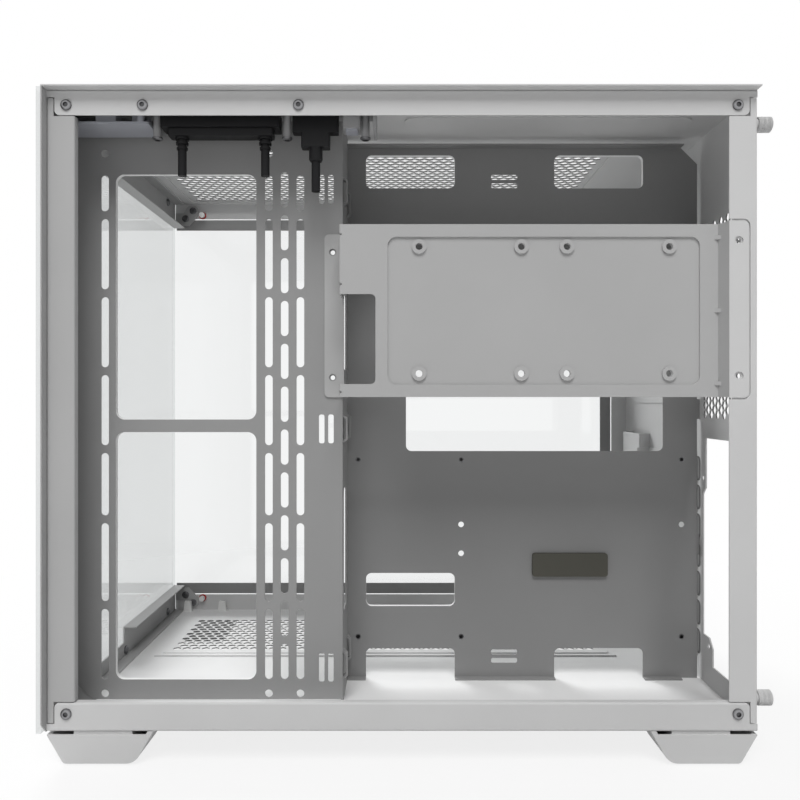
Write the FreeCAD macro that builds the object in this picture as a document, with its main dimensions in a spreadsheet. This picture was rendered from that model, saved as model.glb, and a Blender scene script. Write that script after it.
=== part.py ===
import FreeCAD, Part
import math
import os
import re

import Sketcher

# A two-chamber computer case of folded sheet steel with a glass front and a glass left side.
# Frame: +Z up, the front faces -Y, the open right side faces +X, the origin is under the middle.
# Inside this file a place is given as across (from the left side), along (from the front)
# and up (from the underside of the floor pan), all in millimetres.

SIZES = [
    ("frame_length", 421.0, "steel frame, front face to rear face"),
    ("frame_width", 273.7, "steel frame, left flanges to the right side"),
    ("frame_height", 380.0, "steel frame, floor pan to top frame"),
    ("foot_height", 20.0, "floor pan above the ground"),
    ("sheet", 1.0, "steel sheet"),
    ("skin", 0.8, "outer skin sheet"),
    ("skin_overhang", 6.6, "skins stand proud of the right side to hide the side panel"),
    ("glass", 3.0, "glass panes"),
    ("bend", 1.3, "outside radius of a fold"),
    ("seam", 0.55, "gap between sheets that meet in one plane"),
    ("play", 0.2, "clearance of a piece in its seat"),
    ("column_face", 16.7, "face of the front and rear columns"),
    ("top_beam", 15.0, "face of the upper beam"),
    ("bottom_beam", 17.0, "face of the lower beam"),
    ("lip", 5.0, "inward lip of the lower beam and the front column"),
    ("lap_in", 4.7, "step of the corner lap, along"),
    ("lap_step", 4.4, "step of the corner lap, up"),
    ("lap_round", 3.0, "rounding of the corner lap"),
    ("rail", 24.0, "height of the front rails"),
    ("rail_lip", 9.0, "flanges of the front rails"),
    ("left_flange", 15.0, "height of the left flanges"),
    ("rail_step", 11.0, "height of the lower front rail at its near end"),
    ("rail_end", 134.0, "full height of the lower front rail ends, behind the right side"),
    ("strip_gap", 1.0, "gap between the left flanges and the glass frame"),
    ("strip", 9.6, "width of the glass frame"),
    ("strip_front", 1.0, "front ends of the glass frame"),
    ("left_column", 14.5, "left flange of the rear panel"),
    ("fan_depth", 39.2, "fan plate behind the right side"),
    ("tray_depth", 88.8, "motherboard tray behind the right side"),
    ("bracket_depth", 8.5, "drive bracket behind the right side"),
    ("board_clear", 7.37, "return wall between the chambers ahead of the board standoffs"),
    ("plate_foot", 4.6, "lower edge of the fan plate"),
    ("plate_corner", 11.0, "cut corner of the fan plate"),
    ("seat_flange", 14.0, "flange of the front column that carries the fan plate"),
    ("slot_width", 5.0, "fan screw slots"),
    ("slot_gap", 5.0, "steel between the fan screw slots"),
    ("slot_start", 17.3, "lowest fan slot"),
    ("slot_drop", 39.7, "upper ends of the fan slots below the top"),
    ("slot_short", 23.0, "short fan slots, before they are fitted to the plate"),
    ("slot_mid", 40.0, "medium fan slots, before they are fitted to the plate"),
    ("slot_long", 45.0, "long fan slots, before they are fitted to the plate"),
    ("slot_longest", 50.0, "longest fan slots, before they are fitted to the plate"),
    ("slot_columns_inset", 47.3, "first of the three rear columns ahead of the return wall"),
    ("first_slots", 20.2, "first column of fan slots, from the front"),
    ("slot_columns", 10.1, "spacing of the three rear columns of slots"),
    ("dense_gap", 4.9, "steel between the slots of the dense column"),
    ("dense_drop", 37.6, "upper end of the dense column below the top"),
    ("dense_count", 12.0, "slots in the dense column"),
    ("screw_hole", 4.0, "screw holes in sheet"),
    ("plate_hole_low", 8.2, "lower round holes of the fan plate"),
    ("plate_hole_drop", 25.7, "upper round holes of the fan plate below the top"),
    ("window_front", 27.2, "fan windows, front edge"),
    ("window_inset", 55.3, "fan windows, rear edge ahead of the return wall"),
    ("window_low", 17.2, "lower fan window, lower edge"),
    ("window_bar", 8.1, "bar between the fan windows"),
    ("window_bar_rise", 0.75, "bar between the fan windows above their middle"),
    ("window_drop", 39.2, "upper fan window, upper edge below the top"),
    ("window_round", 5.5, "corner radius of the fan windows"),
    ("hem", 2.5, "turned edges of the larger openings"),
    ("tie_width", 3.6, "cable tie slots, narrow way"),
    ("tie_length", 18.5, "cable tie slots, long way"),
    ("tie_bar", 2.3, "bar between a pair of cable tie slots"),
    ("tie_inset", 15.2, "tie slots of the fan plate ahead of the return wall"),
    ("tie_low", 15.6, "lowest tie slots"),
    ("tie_mid", 168.5, "middle tie slots"),
    ("tie_high_drop", 57.8, "upper tie slots of the fan plate below the top"),
    ("bridge_reach", 2.8, "tie bridges on the return wall, out from the wall"),
    ("bridge_slope", 2.0, "sloping ends of the tie bridges"),
    ("bridge_width", 5.0, "tie bridges, across"),
    ("bridge_inset", 5.0, "tie bridges from the edges of the return wall"),
    ("wall_slot", 26.0, "cable openings in the return wall, across"),
    ("wall_slot_low", 58.0, "lower cable opening, lower edge"),
    ("wall_slot_low_length", 80.0, "lower cable opening, height"),
    ("wall_slot_high", 216.5, "upper cable opening, lower edge"),
    ("wall_slot_high_length", 50.5, "upper cable opening, height"),
    ("tray_gap", 1.9, "tray edge in front of the rear panel"),
    ("tray_drop", 6.0, "upper edge of the tray below the top"),
    ("tray_corner", 12.0, "cut corners of the tray"),
    ("tray_flange", 8.0, "upper flange of the tray"),
    ("tray_foot", 5.4, "lower flange of the tray"),
    ("tray_tab", 14.0, "tabs of the tray in the rear panel, height"),
    ("opening_round", 4.0, "corner radius of the tray openings"),
    ("grip_front_inset", 12.9, "front cable openings of the tray behind the return wall"),
    ("grip_length", 62.4, "cable openings of the tray, length"),
    ("grip_rear_inset", 103.3, "rear cable openings of the tray, front edge from the rear face"),
    ("grip_height", 23.2, "cable openings of the tray, height"),
    ("grip_drop", 35.0, "upper cable openings, lower edge below the top"),
    ("grip_low", 51.5, "lower cable opening, lower edge"),
    ("notch_height", 21.9, "floor notches of the tray"),
    ("cooler_front_inset", 41.0, "cooler cut-out, front edge behind the return wall"),
    ("cooler_rear_inset", 26.8, "cooler cut-out, rear edge from the rear face"),
    ("cooler_low", 160.4, "cooler cut-out, lower edge"),
    ("cooler_high", 292.0, "cooler cut-out, upper edge"),
    ("tray_tie_inset", 100.8, "tie slots of the tray behind the return wall"),
    ("tray_tie_low", 11.4, "lower tie slots of the tray"),
    ("tray_tie_drop", 34.8, "upper tie slots of the tray below the top"),
    ("board_inset", 13.8, "rear row of board standoffs from the rear face"),
    ("board_mid", 154.94, "middle row ahead of the rear row"),
    ("board_front", 227.33, "front row ahead of the rear row"),
    ("board_top", 312.0, "top row of board standoffs"),
    ("board_second", 157.48, "second row below the top row"),
    ("board_third", 281.94, "third row below the top row"),
    ("board_compact", 203.2, "row of the smaller board below the top row"),
    ("board_small", 223.5, "row of the smallest board below the top row"),
    ("standoff_length", 6.35, "board standoffs"),
    ("standoff_size", 5.5, "board standoffs, across flats"),
    ("standoff_bore", 2.6, "board standoffs, screw bore"),
    ("standoff_shank", 3.6, "board standoffs, shank in the tray"),
    ("pad_front_inset", 118.9, "cable pad, front edge from the rear face"),
    ("pad_length", 52.7, "cable pad, length"),
    ("pad_low", 72.6, "cable pad, lower edge"),
    ("pad_height", 16.3, "cable pad, height"),
    ("pad_depth", 2.5, "cable pad, thickness"),
    ("bracket_low", 198.1, "drive bracket, lower edge"),
    ("bracket_height", 104.2, "drive bracket, height"),
    ("bracket_tab", 11.5, "tabs of the drive bracket"),
    ("tab_round", 3.0, "rounding of the bracket's tabs"),
    ("tab_over", 0.4, "rear tab beyond the bracket's edges"),
    ("dart", 2.4, "stiffening darts across the folds of the bracket"),
    ("dart_inset", 7.0, "outer darts from the edges of the bracket"),
    ("fold_notch", 2.0, "relief notches in the front fold of the bracket"),
    ("rear_tab_hole", 5.2, "holes of the rear tab"),
    ("seat_hole", 3.0, "holes behind the tabs"),
    ("tab_gap", 1.0, "gap around the rear tab in the rear column"),
    ("front_tab_hole", 4.6, "holes of the front tab"),
    ("bracket_jog", 3.3, "sloping run up to the rear tab"),
    ("bracket_rise", 8.5, "outer face of the rear tab over the bracket plate"),
    ("bracket_notch", 22.0, "cable notch of the bracket, along"),
    ("bracket_notch_low", 205.9, "cable notch, lower edge"),
    ("bracket_notch_high", 260.2, "cable notch, upper edge"),
    ("recess_front_inset", 29.3, "pressed recess, front edge behind the return wall"),
    ("recess_rear_inset", 30.9, "pressed recess, rear edge from the rear face"),
    ("recess_low", 205.6, "pressed recess, lower edge"),
    ("recess_high", 294.7, "pressed recess, upper edge"),
    ("recess", 1.2, "depth of the pressed recess"),
    ("recess_wall", 1.4, "wall of the pressed recess"),
    ("drive_width", 61.72, "drive screw spacing, along"),
    ("drive_length", 76.6, "drive screw spacing, up"),
    ("drive_front_inset", 48.3, "front drive, front screws behind the return wall"),
    ("drive_rear_inset", 110.9, "rear drive, front screws from the rear face"),
    ("drive_low", 212.3, "drive screws, lower row"),
    ("grommet_size", 8.8, "drive grommets"),
    ("grommet_neck", 6.4, "drive grommets in their holes"),
    ("grommet_rim", 1.2, "rims of the drive grommets"),
    ("grommet_bore", 4.2, "bore of the drive grommets"),
    ("bracket_screw_low", 210.6, "lower bracket screws"),
    ("bracket_screw_high", 290.8, "upper bracket screws"),
    ("supply_near", 15.0, "power supply opening, near edge"),
    ("supply_deep", 83.0, "power supply opening, deep edge"),
    ("supply_low", 16.0, "power supply opening, lower edge"),
    ("supply_high", 170.0, "power supply opening, upper edge"),
    ("supply_step", 5.0, "upper screw tab of the power supply opening, across"),
    ("supply_step_low", 136.0, "upper screw tab, lower end"),
    ("supply_tab", 17.0, "lower screw tab of the power supply opening, across"),
    ("supply_tab_high", 34.0, "lower screw tab, upper edge"),
    ("supply_tab_cut", 6.0, "lower screw tab, cut corner"),
    ("supply_base", 22.1, "power supply, underside"),
    ("supply_side", 2.8, "power supply, right face"),
    ("supply_screw", 3.8, "power supply screw holes"),
    ("vent_near", 20.0, "rear vent, near edge"),
    ("vent_deep", 80.0, "rear vent, deep edge"),
    ("vent_low", 181.0, "rear vent, lower edge"),
    ("vent_high", 319.0, "rear vent, upper edge"),
    ("vent_round", 8.0, "rear vent, corner radius"),
    ("vent_margin", 5.0, "vent plates beyond their openings"),
    ("vent_pitch", 13.0, "holes of the rear vent"),
    ("port_near", 93.9, "board port opening, near edge"),
    ("port_width", 44.45, "board port opening, across"),
    ("port_low", 159.5, "board port opening, lower edge"),
    ("port_height", 158.75, "board port opening, height"),
    ("fan_beside", 2.65, "rear fan opening beside the port opening"),
    ("rear_fan_up", 256.0, "rear fan centre"),
    ("fan_left", 18.7, "rear fan opening from the left side"),
    ("fan_screw_inset", 9.0, "screw spacing of the rear fan less than its opening"),
    ("fan_screw", 4.5, "rear fan screw holes"),
    ("fan_hole_pitch", 15.5, "holes of the rear fan grille"),
    ("card_near", 97.0, "card slots, near end"),
    ("card_length", 100.0, "card slots, length"),
    ("card_width", 13.0, "card slots, width"),
    ("card_pitch", 20.32, "card slots, pitch"),
    ("card_low", 25.1, "lowest card slot"),
    ("cover_width", 18.4, "slot covers, width"),
    ("cover_over", 4.0, "slot covers beyond their slots"),
    ("cover_tab", 11.0, "screw tabs of the slot covers"),
    ("clamp_left", 23.7, "slot clamp from the left side"),
    ("clamp_depth", 9.0, "slot clamp, folded edge"),
    ("clamp_top", 168.0, "slot clamp, upper end"),
    ("bead_near", 42.0, "pressed bead of the ceiling, near edge"),
    ("bead_deep", 63.0, "pressed bead of the ceiling, deep edge"),
    ("bead_front", 40.0, "pressed bead, front end behind the return wall"),
    ("bead_inset", 21.0, "pressed bead, rear end from the rear face"),
    ("bead_drop", 1.0, "pressed bead below the ceiling"),
    ("bead_round", 8.0, "pressed bead, corner radius"),
    ("mesh_front", 17.0, "top mesh, front edge"),
    ("mesh_rear_inset", 54.0, "top mesh, rear edge from the rear face"),
    ("mesh_near", 97.0, "top mesh, near edge"),
    ("mesh_left", 7.7, "top mesh, from the left side"),
    ("mesh_rim", 3.0, "plain rim of the mesh"),
    ("mesh_pitch", 28.0, "holes of the top mesh"),
    ("sieve_front", 29.0, "floor mesh, front edge"),
    ("sieve_rear_inset", 54.0, "floor mesh, rear edge from the rear face"),
    ("sieve_near", 146.0, "floor mesh, near edge"),
    ("sieve_left", 36.7, "floor mesh, from the left side"),
    ("sieve_pitch", 24.0, "holes of the floor mesh"),
    ("guide_near", 135.5, "filter guide on the floor, near edge"),
    ("guide_front", 22.0, "filter guide, front end"),
    ("guide_rear_inset", 47.0, "filter guide, rear end from the rear face"),
    ("mesh_web", 0.17, "steel between holes as a share of the pitch"),
    ("column_skin", 41.0, "front skin strip, across"),
    ("foot_length", 63.0, "feet, length"),
    ("foot_width", 34.0, "feet, across"),
    ("foot_slant_out", 13.0, "slope of the outer end of a foot"),
    ("foot_slant_in", 14.2, "slope of the inner end of a foot"),
    ("foot_round", 9.0, "inner lower radius of a foot"),
    ("foot_shadow", 1.8, "gap over the ends of a foot"),
    ("foot_boss", 34.0, "raised seat of a foot"),
    ("foot_pad", 1.0, "rubber pads under the feet"),
    ("pad_inset", 5.0, "rubber pads inside the feet"),
    ("thumb_reach", 11.0, "thumbscrews behind the rear face"),
    ("thumb_size", 9.4, "thumbscrew heads"),
    ("thumb_neck", 2.5, "thumbscrew necks"),
    ("thumb_shank", 3.4, "thumbscrew shanks"),
    ("thumb_depth", 7.0, "thumbscrews behind the right side"),
    ("thumb_low", 17.6, "lower thumbscrew"),
    ("thumb_drop", 18.4, "upper thumbscrew below the top"),
    ("screw_head", 6.4, "screw heads"),
    ("screw_rise", 1.6, "height of screw heads"),
    ("screw_shank", 3.0, "screw shanks"),
    ("screw_length", 6.0, "screws under the head"),
    ("socket_size", 3.0, "sockets in screw heads"),
    ("socket_depth", 0.9, "sockets in screw heads"),
    ("corner_screw", 11.7, "corner frame screws, from the ends"),
    ("beam_screw_near", 56.9, "second upper frame screw, from the front"),
    ("beam_screw_mid", 149.2, "third upper frame screw, from the front"),
    ("screw_up", 9.1, "upper frame screws from the top"),
    ("screw_up_low", 10.5, "lower frame screws from the floor"),
    ("holder_near", 6.0, "port holder, near edge"),
    ("holder_width", 22.0, "port holder, across"),
    ("holder_front", 3.0, "port holder, front end"),
    ("holder_rear", 195.0, "port holder, rear end"),
    ("holder_drop", 8.0, "underside of the port holder below the top frame sheet"),
    ("holder_plate", 2.0, "port holder, thickness"),
    ("boss_size", 6.5, "bosses of the port holder"),
    ("post_size", 5.0, "hanging posts of the port holder"),
    ("post_drop", 14.0, "hanging posts of the port holder, height"),
    ("holder_end", 1.8, "rear end wall of the port holder, thickness"),
    ("holder_end_drop", 12.0, "rear end wall of the port holder, height"),
    ("boss_front", 60.6, "front boss"),
    ("boss_mid", 140.1, "middle boss"),
    ("boss_rear", 188.1, "rear boss"),
    ("power_along", 31.0, "power button, from the front"),
    ("power_size", 12.0, "power button"),
    ("reset_along", 49.0, "reset button, from the front"),
    ("reset_size", 6.0, "reset button"),
    ("button_play", 0.3, "clearance around the buttons"),
    ("button_rise", 1.6, "buttons above the top panel"),
    ("button_stem", 3.6, "stems of the buttons"),
    ("button_travel", 1.2, "button travel"),
    ("switch_front", 3.5, "switch board, front end"),
    ("switch_length", 54.0, "switch board, length"),
    ("switch_near", 8.0, "switch board, near edge"),
    ("switch_width", 26.0, "switch board, across"),
    ("switch_plate", 1.2, "switch board, thickness"),
    ("board_round", 2.0, "switch board, corner radius"),
    ("switch_drop", 7.0, "switch board below the port holder"),
    ("switch_post", 4.0, "posts of the switch board"),
    ("switch_inset", 5.0, "posts from the ends of the switch board"),
    ("block_depth", 15.0, "port blocks, across"),
    ("usb_front", 64.2, "USB block, front end"),
    ("usb_length", 71.7, "USB block, length"),
    ("usb_height", 9.5, "USB block, height"),
    ("usb_foot", 4.5, "lower step of the USB block, height"),
    ("usb_foot_inset", 4.0, "lower step from the ends of the USB block"),
    ("usb_foot_depth", 10.0, "lower step of the USB block, across"),
    ("usb_lead", 11.6, "leads of the USB block from its ends"),
    ("usb_lead_gap", 50.9, "spacing of the two USB leads"),
    ("port_long", 13.6, "USB port, long way"),
    ("port_short", 5.8, "USB port, short way"),
    ("reversible_front", 143.7, "USB-C block, front end"),
    ("reversible_length", 28.0, "USB-C block, length"),
    ("reversible_height", 11.5, "USB-C block, height"),
    ("reversible_depth", 8.0, "USB-C block, across"),
    ("reversible_neck", 17.4, "USB-C neck, length"),
    ("reversible_neck_drop", 9.0, "USB-C neck, height"),
    ("reversible_long", 9.0, "USB-C port, long way"),
    ("reversible_short", 3.3, "USB-C port, short way"),
    ("audio_front", 174.7, "audio block, front end"),
    ("audio_length", 10.5, "audio block, length"),
    ("audio_height", 9.8, "audio block, height"),
    ("audio_plate", 1.2, "small board under the audio block"),
    ("audio_plate_inset", 1.6, "small board inside the ends of the audio block"),
    ("audio_plate_depth", 10.0, "small board, across"),
    ("audio_size", 6.0, "audio socket"),
    ("audio_bore", 3.5, "audio socket bore"),
    ("lead_size", 5.2, "cut leads"),
    ("relief_size", 8.4, "strain reliefs"),
    ("relief_groove", 1.3, "grooves of the strain reliefs"),
    ("thick_lead", 5.3, "USB-C lead"),
    ("thick_relief", 8.3, "USB-C strain relief"),
    ("thick_relief_length", 8.2, "USB-C strain relief, length"),
    ("usb_relief", 9.0, "strain reliefs of the USB block, length"),
    ("usb_lead_length", 23.6, "USB leads under their block"),
    ("reversible_lead_length", 26.5, "USB-C lead under its neck"),
    ("peg_size", 5.0, "glass pegs"),
    ("peg_length", 5.0, "glass pegs"),
    ("peg_front", 25.5, "front glass pegs, from the front"),
    ("peg_rear_inset", 46.0, "rear glass pegs from the rear face"),
    ("peg_up", 12.0, "glass pegs from the edge of their rail"),
    ("ring_size", 6.6, "sealing rings on the glass pegs"),
    ("ring_width", 1.2, "sealing rings on the glass pegs"),
    ("rest_size", 7.7, "glass clips on the floor, along"),
    ("rest_depth", 3.6, "glass clips on the floor, across"),
    ("rest_slope", 1.1, "slope of the ends of the glass clips"),
    ("rest_height", 9.0, "glass clips on the floor, height"),
    ("rest_across", 4.3, "glass clips from the left side"),
    ("rest_front", 13.0, "first glass clip, from the front"),
    ("rest_second", 44.7, "second glass clip, from the front"),
    ("rivet_first", 27.7, "first rail rivet, from the left side"),
    ("rivet_second", 137.7, "second rail rivet, from the left side"),
    ("rivet_up", 6.0, "rail rivets from the outer face of their sheet"),
    ("gusset_sheet", 1.5, "corner brackets, thickness"),
    ("gusset_reach", 21.5, "corner brackets, from the front"),
    ("gusset_low", 20.4, "corner brackets, deep edge from the sheet"),
    ("gusset_step", 9.0, "corner brackets, edge of the wide part from the sheet"),
    ("gusset_base", 13.0, "corner brackets, wide part from the front"),
    ("gusset_round", 4.0, "corner brackets, rounding of the arm"),
    ("gusset_arm", 9.5, "corner brackets, width of the arm"),
    ("gusset_gap", 2.0, "corner brackets, arm from the sheet"),
]

# Places worked out from the sizes.
PLACES = {
    "x_left": "-(frame_width + skin_overhang - glass) / 2",
    "y_front": "(glass + skin - frame_length - thumb_reach) / 2",
    "z_floor": "foot_height",
    "tray_across": "frame_width - tray_depth",
    "fan_across": "frame_width - fan_depth",
    "bracket_across": "frame_width - bracket_depth",
    "rear_wall": "frame_length - sheet",
    "under_top": "frame_height - sheet",
    "tray_rear": "rear_wall - tray_gap",
    "holder_low": "under_top - holder_drop",
    "holder_middle": "frame_width - holder_near - holder_width / 2",
    "board_second_row": "board_top - board_second",
    "board_third_row": "board_top - board_third",
    "board_compact_row": "board_top - board_compact",
    "board_small_row": "board_top - board_small",
    "board_mid_row": "board_rear - board_mid",
    "board_front_row": "board_rear - board_front",
    "mesh_right": "frame_width - mesh_near",
    "sieve_right": "frame_width - sieve_near",
    "slot_columns_start": "divider - slot_columns_inset",
    "corner_rear": "frame_length - corner_screw",
    "screw_row_high": "frame_height - screw_up",
    "tab_start": "frame_length - column_face",
    "clamp_across": "clamp_left",
    "clamp_width": "frame_width - card_near - card_length - cover_over - clamp_left",
    "divider": "board_front_row - board_clear",
    "board_rear": "frame_length - board_inset",
    "window_rear": "divider - window_inset",
    "tie_along": "divider - tie_inset",
    "grip_front": "divider + grip_front_inset",
    "grip_rear": "frame_length - grip_rear_inset",
    "cooler_front": "divider + cooler_front_inset",
    "cooler_rear": "frame_length - cooler_rear_inset",
    "tray_tie_along": "divider + tray_tie_inset",
    "pad_front": "frame_length - pad_front_inset",
    "recess_front": "divider + recess_front_inset",
    "recess_rear": "frame_length - recess_rear_inset",
    "drive_front": "divider + drive_front_inset",
    "drive_rear": "frame_length - drive_rear_inset",
    "mesh_rear": "frame_length - mesh_rear_inset",
    "sieve_rear": "frame_length - sieve_rear_inset",
    "guide_rear": "frame_length - guide_rear_inset",
    "peg_rear": "frame_length - peg_rear_inset",
    "tray_top": "frame_height - tray_drop",
    "plate_hole_high": "frame_height - plate_hole_drop",
    "window_high": "frame_height - window_drop",
    "window_middle": "(window_low + window_high) / 2 + window_bar_rise",
    "window_bar_low": "window_middle - window_bar / 2",
    "window_bar_high": "window_middle + window_bar / 2",
    "tie_high": "frame_height - tie_high_drop",
    "grip_top": "frame_height - grip_drop",
    "tray_tie_high": "frame_height - tray_tie_drop",
    "thumb_high": "frame_height - thumb_drop",
    "slot_room": "frame_height - slot_drop - slot_start - 6 * slot_gap",
    "slot_fit": "slot_room / (4 * slot_long + slot_longest + slot_mid + slot_short)",
    "dense_pitch": "(frame_height - dense_drop - slot_start + dense_gap) / dense_count",
    "dense_slot": "dense_pitch - dense_gap",
    "rear_fan": "frame_width - port_near - port_width - fan_beside - fan_left",
    "rear_fan_across": "port_near + port_width + fan_beside + rear_fan / 2",
    "rear_fan_screws": "rear_fan - fan_screw_inset",
}

ALIASES = {alias for alias, value, note in SIZES}
WORD = re.compile(r"[a-z][a-z_0-9]*")

doc = FreeCAD.newDocument("computer_case")
sizes = doc.addObject("Spreadsheet::Sheet", "Sizes")
for row, (alias, value, note) in enumerate(SIZES, start=1):
    sizes.set("A%d" % row, note)
    sizes.set("B%d" % row, str(value))
    sizes.setAlias("B%d" % row, alias)
doc.recompute()

nodes = []


def expand(text):
    """Turns the plain words of a size into an expression on the sheet's cells."""
    def swap(match):
        word = match.group(0)
        if word in PLACES:
            return "(" + expand(PLACES[word]) + ")"
        if word not in ALIASES:
            raise KeyError("no size is called " + word)
        return "Sizes." + word
    return WORD.sub(swap, str(text))


def measure(text):
    """The value of an expression in millimetres."""
    return float(sizes.evalExpression(expand(text)))


def bind(item, prop, text):
    item.setExpression(prop, expand(text))


def place(item, across="0", along="0", up="0"):
    """Puts an object's origin at a place of the case."""
    bind(item, "Placement.Base.x", "x_left + (%s)" % across)
    bind(item, "Placement.Base.y", "y_front + (%s)" % along)
    bind(item, "Placement.Base.z", "z_floor + (%s)" % up)


def body(name, across="0", along="0", up="0", node=True):
    item = doc.addObject("PartDesign::Body", name)
    item.Label = name
    place(item, across, along, up)
    if node:
        nodes.append(item)
    return item


# Sketches: across-along lies on XY, across-up on XZ and along-up on YZ.
OUTWARD = {"XY_Plane": 1, "XZ_Plane": -1, "YZ_Plane": 1}


def sketch(item, plane, at="0"):
    """A sketch on one of the body's own planes, moved along that plane's axis."""
    drawing = item.newObject("Sketcher::SketchObject", item.Name + "_sketch")
    support = [face for face in item.Origin.OriginFeatures if face.Role == plane][0]
    drawing.AttachmentSupport = [(support, "")]
    drawing.MapMode = "FlatFace"
    bind(drawing, "AttachmentOffset.Base.z", "%d * (%s)" % (OUTWARD[plane], at))
    return drawing


def pad(item, drawing, length, plane, forward=True):
    """Extrudes a sketch, forward being the way its axis grows."""
    feature = item.newObject("PartDesign::Pad", item.Name + "_pad")
    feature.Profile = drawing
    feature.Reversed = forward != (OUTWARD[plane] > 0)
    bind(feature, "Length", length)
    drawing.Visibility = False
    return feature


def cut(item, drawing, length, plane, forward=True):
    """Cuts a sketch to a depth, forward being the way its axis grows."""
    feature = item.newObject("PartDesign::Pocket", item.Name + "_pocket")
    feature.Profile = drawing
    feature.Type = "Length"
    feature.Reversed = forward == (OUTWARD[plane] > 0)
    bind(feature, "Length", length)
    return feature


def constrain(drawing, rules):
    """Adds constraints together, then binds those that carry an expression."""
    numbers = drawing.addConstraint([rule for rule, text in rules])
    for number, (rule, text) in zip(numbers, rules):
        if text is not None:
            drawing.setExpression("Constraints[%d]" % number, expand(text))


def pin(rules, geometry, point, first, second):
    """Fixes a point of the sketch by its two coordinates."""
    for kind, text in (("DistanceX", first), ("DistanceY", second)):
        rule = Sketcher.Constraint(kind, -1, 1, geometry, point, measure(text))
        rules.append((rule, text))


def outline(drawing, corners):
    """A closed outline of straight runs. A corner's third entry, where given, is its radius."""
    count = len(corners)
    spots = [FreeCAD.Vector(measure(c[0]), measure(c[1]), 0) for c in corners]
    starts, ends, arcs = list(spots), list(spots), {}
    for i, corner in enumerate(corners):
        if len(corner) < 3:
            continue
        back = (spots[i - 1] - spots[i]).normalize()
        on = (spots[(i + 1) % count] - spots[i]).normalize()
        half = back.getAngle(on) / 2
        radius = measure(corner[2])
        ends[i] = spots[i] + back * (radius / math.tan(half))
        starts[i] = spots[i] + on * (radius / math.tan(half))
        middle = spots[i] + (back + on).normalize() * (radius / math.sin(half))
        left_turn = back.cross(on).z < 0
        arcs[i] = (middle, radius, left_turn)
    first = drawing.GeometryCount
    lines = [Part.LineSegment(starts[i], ends[(i + 1) % count]) for i in range(count)]
    drawing.addGeometry(lines, False)
    rules = []
    for i, corner in enumerate(corners):
        before, after = first + (i - 1) % count, first + i
        if i not in arcs:
            rules.append((Sketcher.Constraint("Coincident", before, 2, after, 1), None))
            pin(rules, after, 1, corner[0], corner[1])
            continue
        middle, radius, left_turn = arcs[i]
        entry, leave = (ends[i], starts[i]) if left_turn else (starts[i], ends[i])
        low = math.atan2(entry.y - middle.y, entry.x - middle.x)
        high = math.atan2(leave.y - middle.y, leave.x - middle.x)
        if high < low:
            high += 2 * math.pi
        circle = Part.Circle(middle, FreeCAD.Vector(0, 0, 1), radius)
        arc = drawing.addGeometry(Part.ArcOfCircle(circle, low, high), False)
        spot = drawing.addGeometry(Part.Point(spots[i]), True)
        enter_end, leave_end = (1, 2) if left_turn else (2, 1)
        rules.append((Sketcher.Constraint("Tangent", before, 2, arc, enter_end), None))
        rules.append((Sketcher.Constraint("Tangent", after, 1, arc, leave_end), None))
        rules.append((Sketcher.Constraint("PointOnObject", spot, 1, before), None))
        rules.append((Sketcher.Constraint("PointOnObject", spot, 1, after), None))
        rules.append((Sketcher.Constraint("Radius", arc, radius), corner[2]))
        pin(rules, spot, 1, corner[0], corner[1])
    constrain(drawing, rules)


def window(drawing, low, high, radius=None):
    """A rectangle between two corners, with rounded corners where a radius is given."""
    corners = [(low[0], low[1]), (high[0], low[1]), (high[0], high[1]), (low[0], high[1])]
    outline(drawing, [c + (radius,) for c in corners] if radius else corners)


def slot(drawing, first, low, high, width):
    """An upright slot with round ends about the line at first."""
    along, bottom, top, radius = measure(first), measure(low), measure(high), measure(width) / 2
    start = drawing.GeometryCount
    left = along - radius
    right = along + radius
    ends = [FreeCAD.Vector(along, bottom + radius, 0), FreeCAD.Vector(along, top - radius, 0)]
    up = FreeCAD.Vector(0, 0, 1)
    drawing.addGeometry([
        Part.LineSegment(FreeCAD.Vector(right, ends[0].y, 0), FreeCAD.Vector(right, ends[1].y, 0)),
        Part.ArcOfCircle(Part.Circle(ends[1], up, radius), 0, math.pi),
        Part.LineSegment(FreeCAD.Vector(left, ends[1].y, 0), FreeCAD.Vector(left, ends[0].y, 0)),
        Part.ArcOfCircle(Part.Circle(ends[0], up, radius), math.pi, 2 * math.pi)], False)
    rules = [(Sketcher.Constraint("Tangent", start, 2, start + 1, 1), None),
             (Sketcher.Constraint("Tangent", start + 1, 2, start + 2, 1), None),
             (Sketcher.Constraint("Tangent", start + 2, 2, start + 3, 1), None),
             (Sketcher.Constraint("Tangent", start + 3, 2, start, 1), None),
             (Sketcher.Constraint("Vertical", start), None),
             (Sketcher.Constraint("Radius", start + 1, radius), "(%s) / 2" % width)]
    pin(rules, start + 3, 3, first, "%s + (%s) / 2" % (low, width))
    top_text = "%s - (%s) / 2" % (high, width)
    rules.append((Sketcher.Constraint("DistanceY", -1, 1, start + 1, 3, measure(top_text)), top_text))
    constrain(drawing, rules)


def hole(drawing, first, second, size):
    """A round hole."""
    centre = FreeCAD.Vector(measure(first), measure(second), 0)
    circle = Part.Circle(centre, FreeCAD.Vector(0, 0, 1), measure(size) / 2)
    number = drawing.addGeometry(circle, False)
    rules = [(Sketcher.Constraint("Diameter", number, measure(size)), size)]
    pin(rules, number, 3, first, second)
    constrain(drawing, rules)


def turned(name, profile, node=False):
    """A piece turned about its own upright axis from a profile of (radius, height) corners."""
    item = doc.addObject("PartDesign::Body", name)
    item.Label = name
    drawing = sketch(item, "XZ_Plane")
    outline(drawing, profile)
    feature = item.newObject("PartDesign::Revolution", name + "_turn")
    feature.Profile = drawing
    feature.ReferenceAxis = (drawing, ["V_Axis"])
    feature.Angle = 360
    if node:
        nodes.append(item)
    return item


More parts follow.
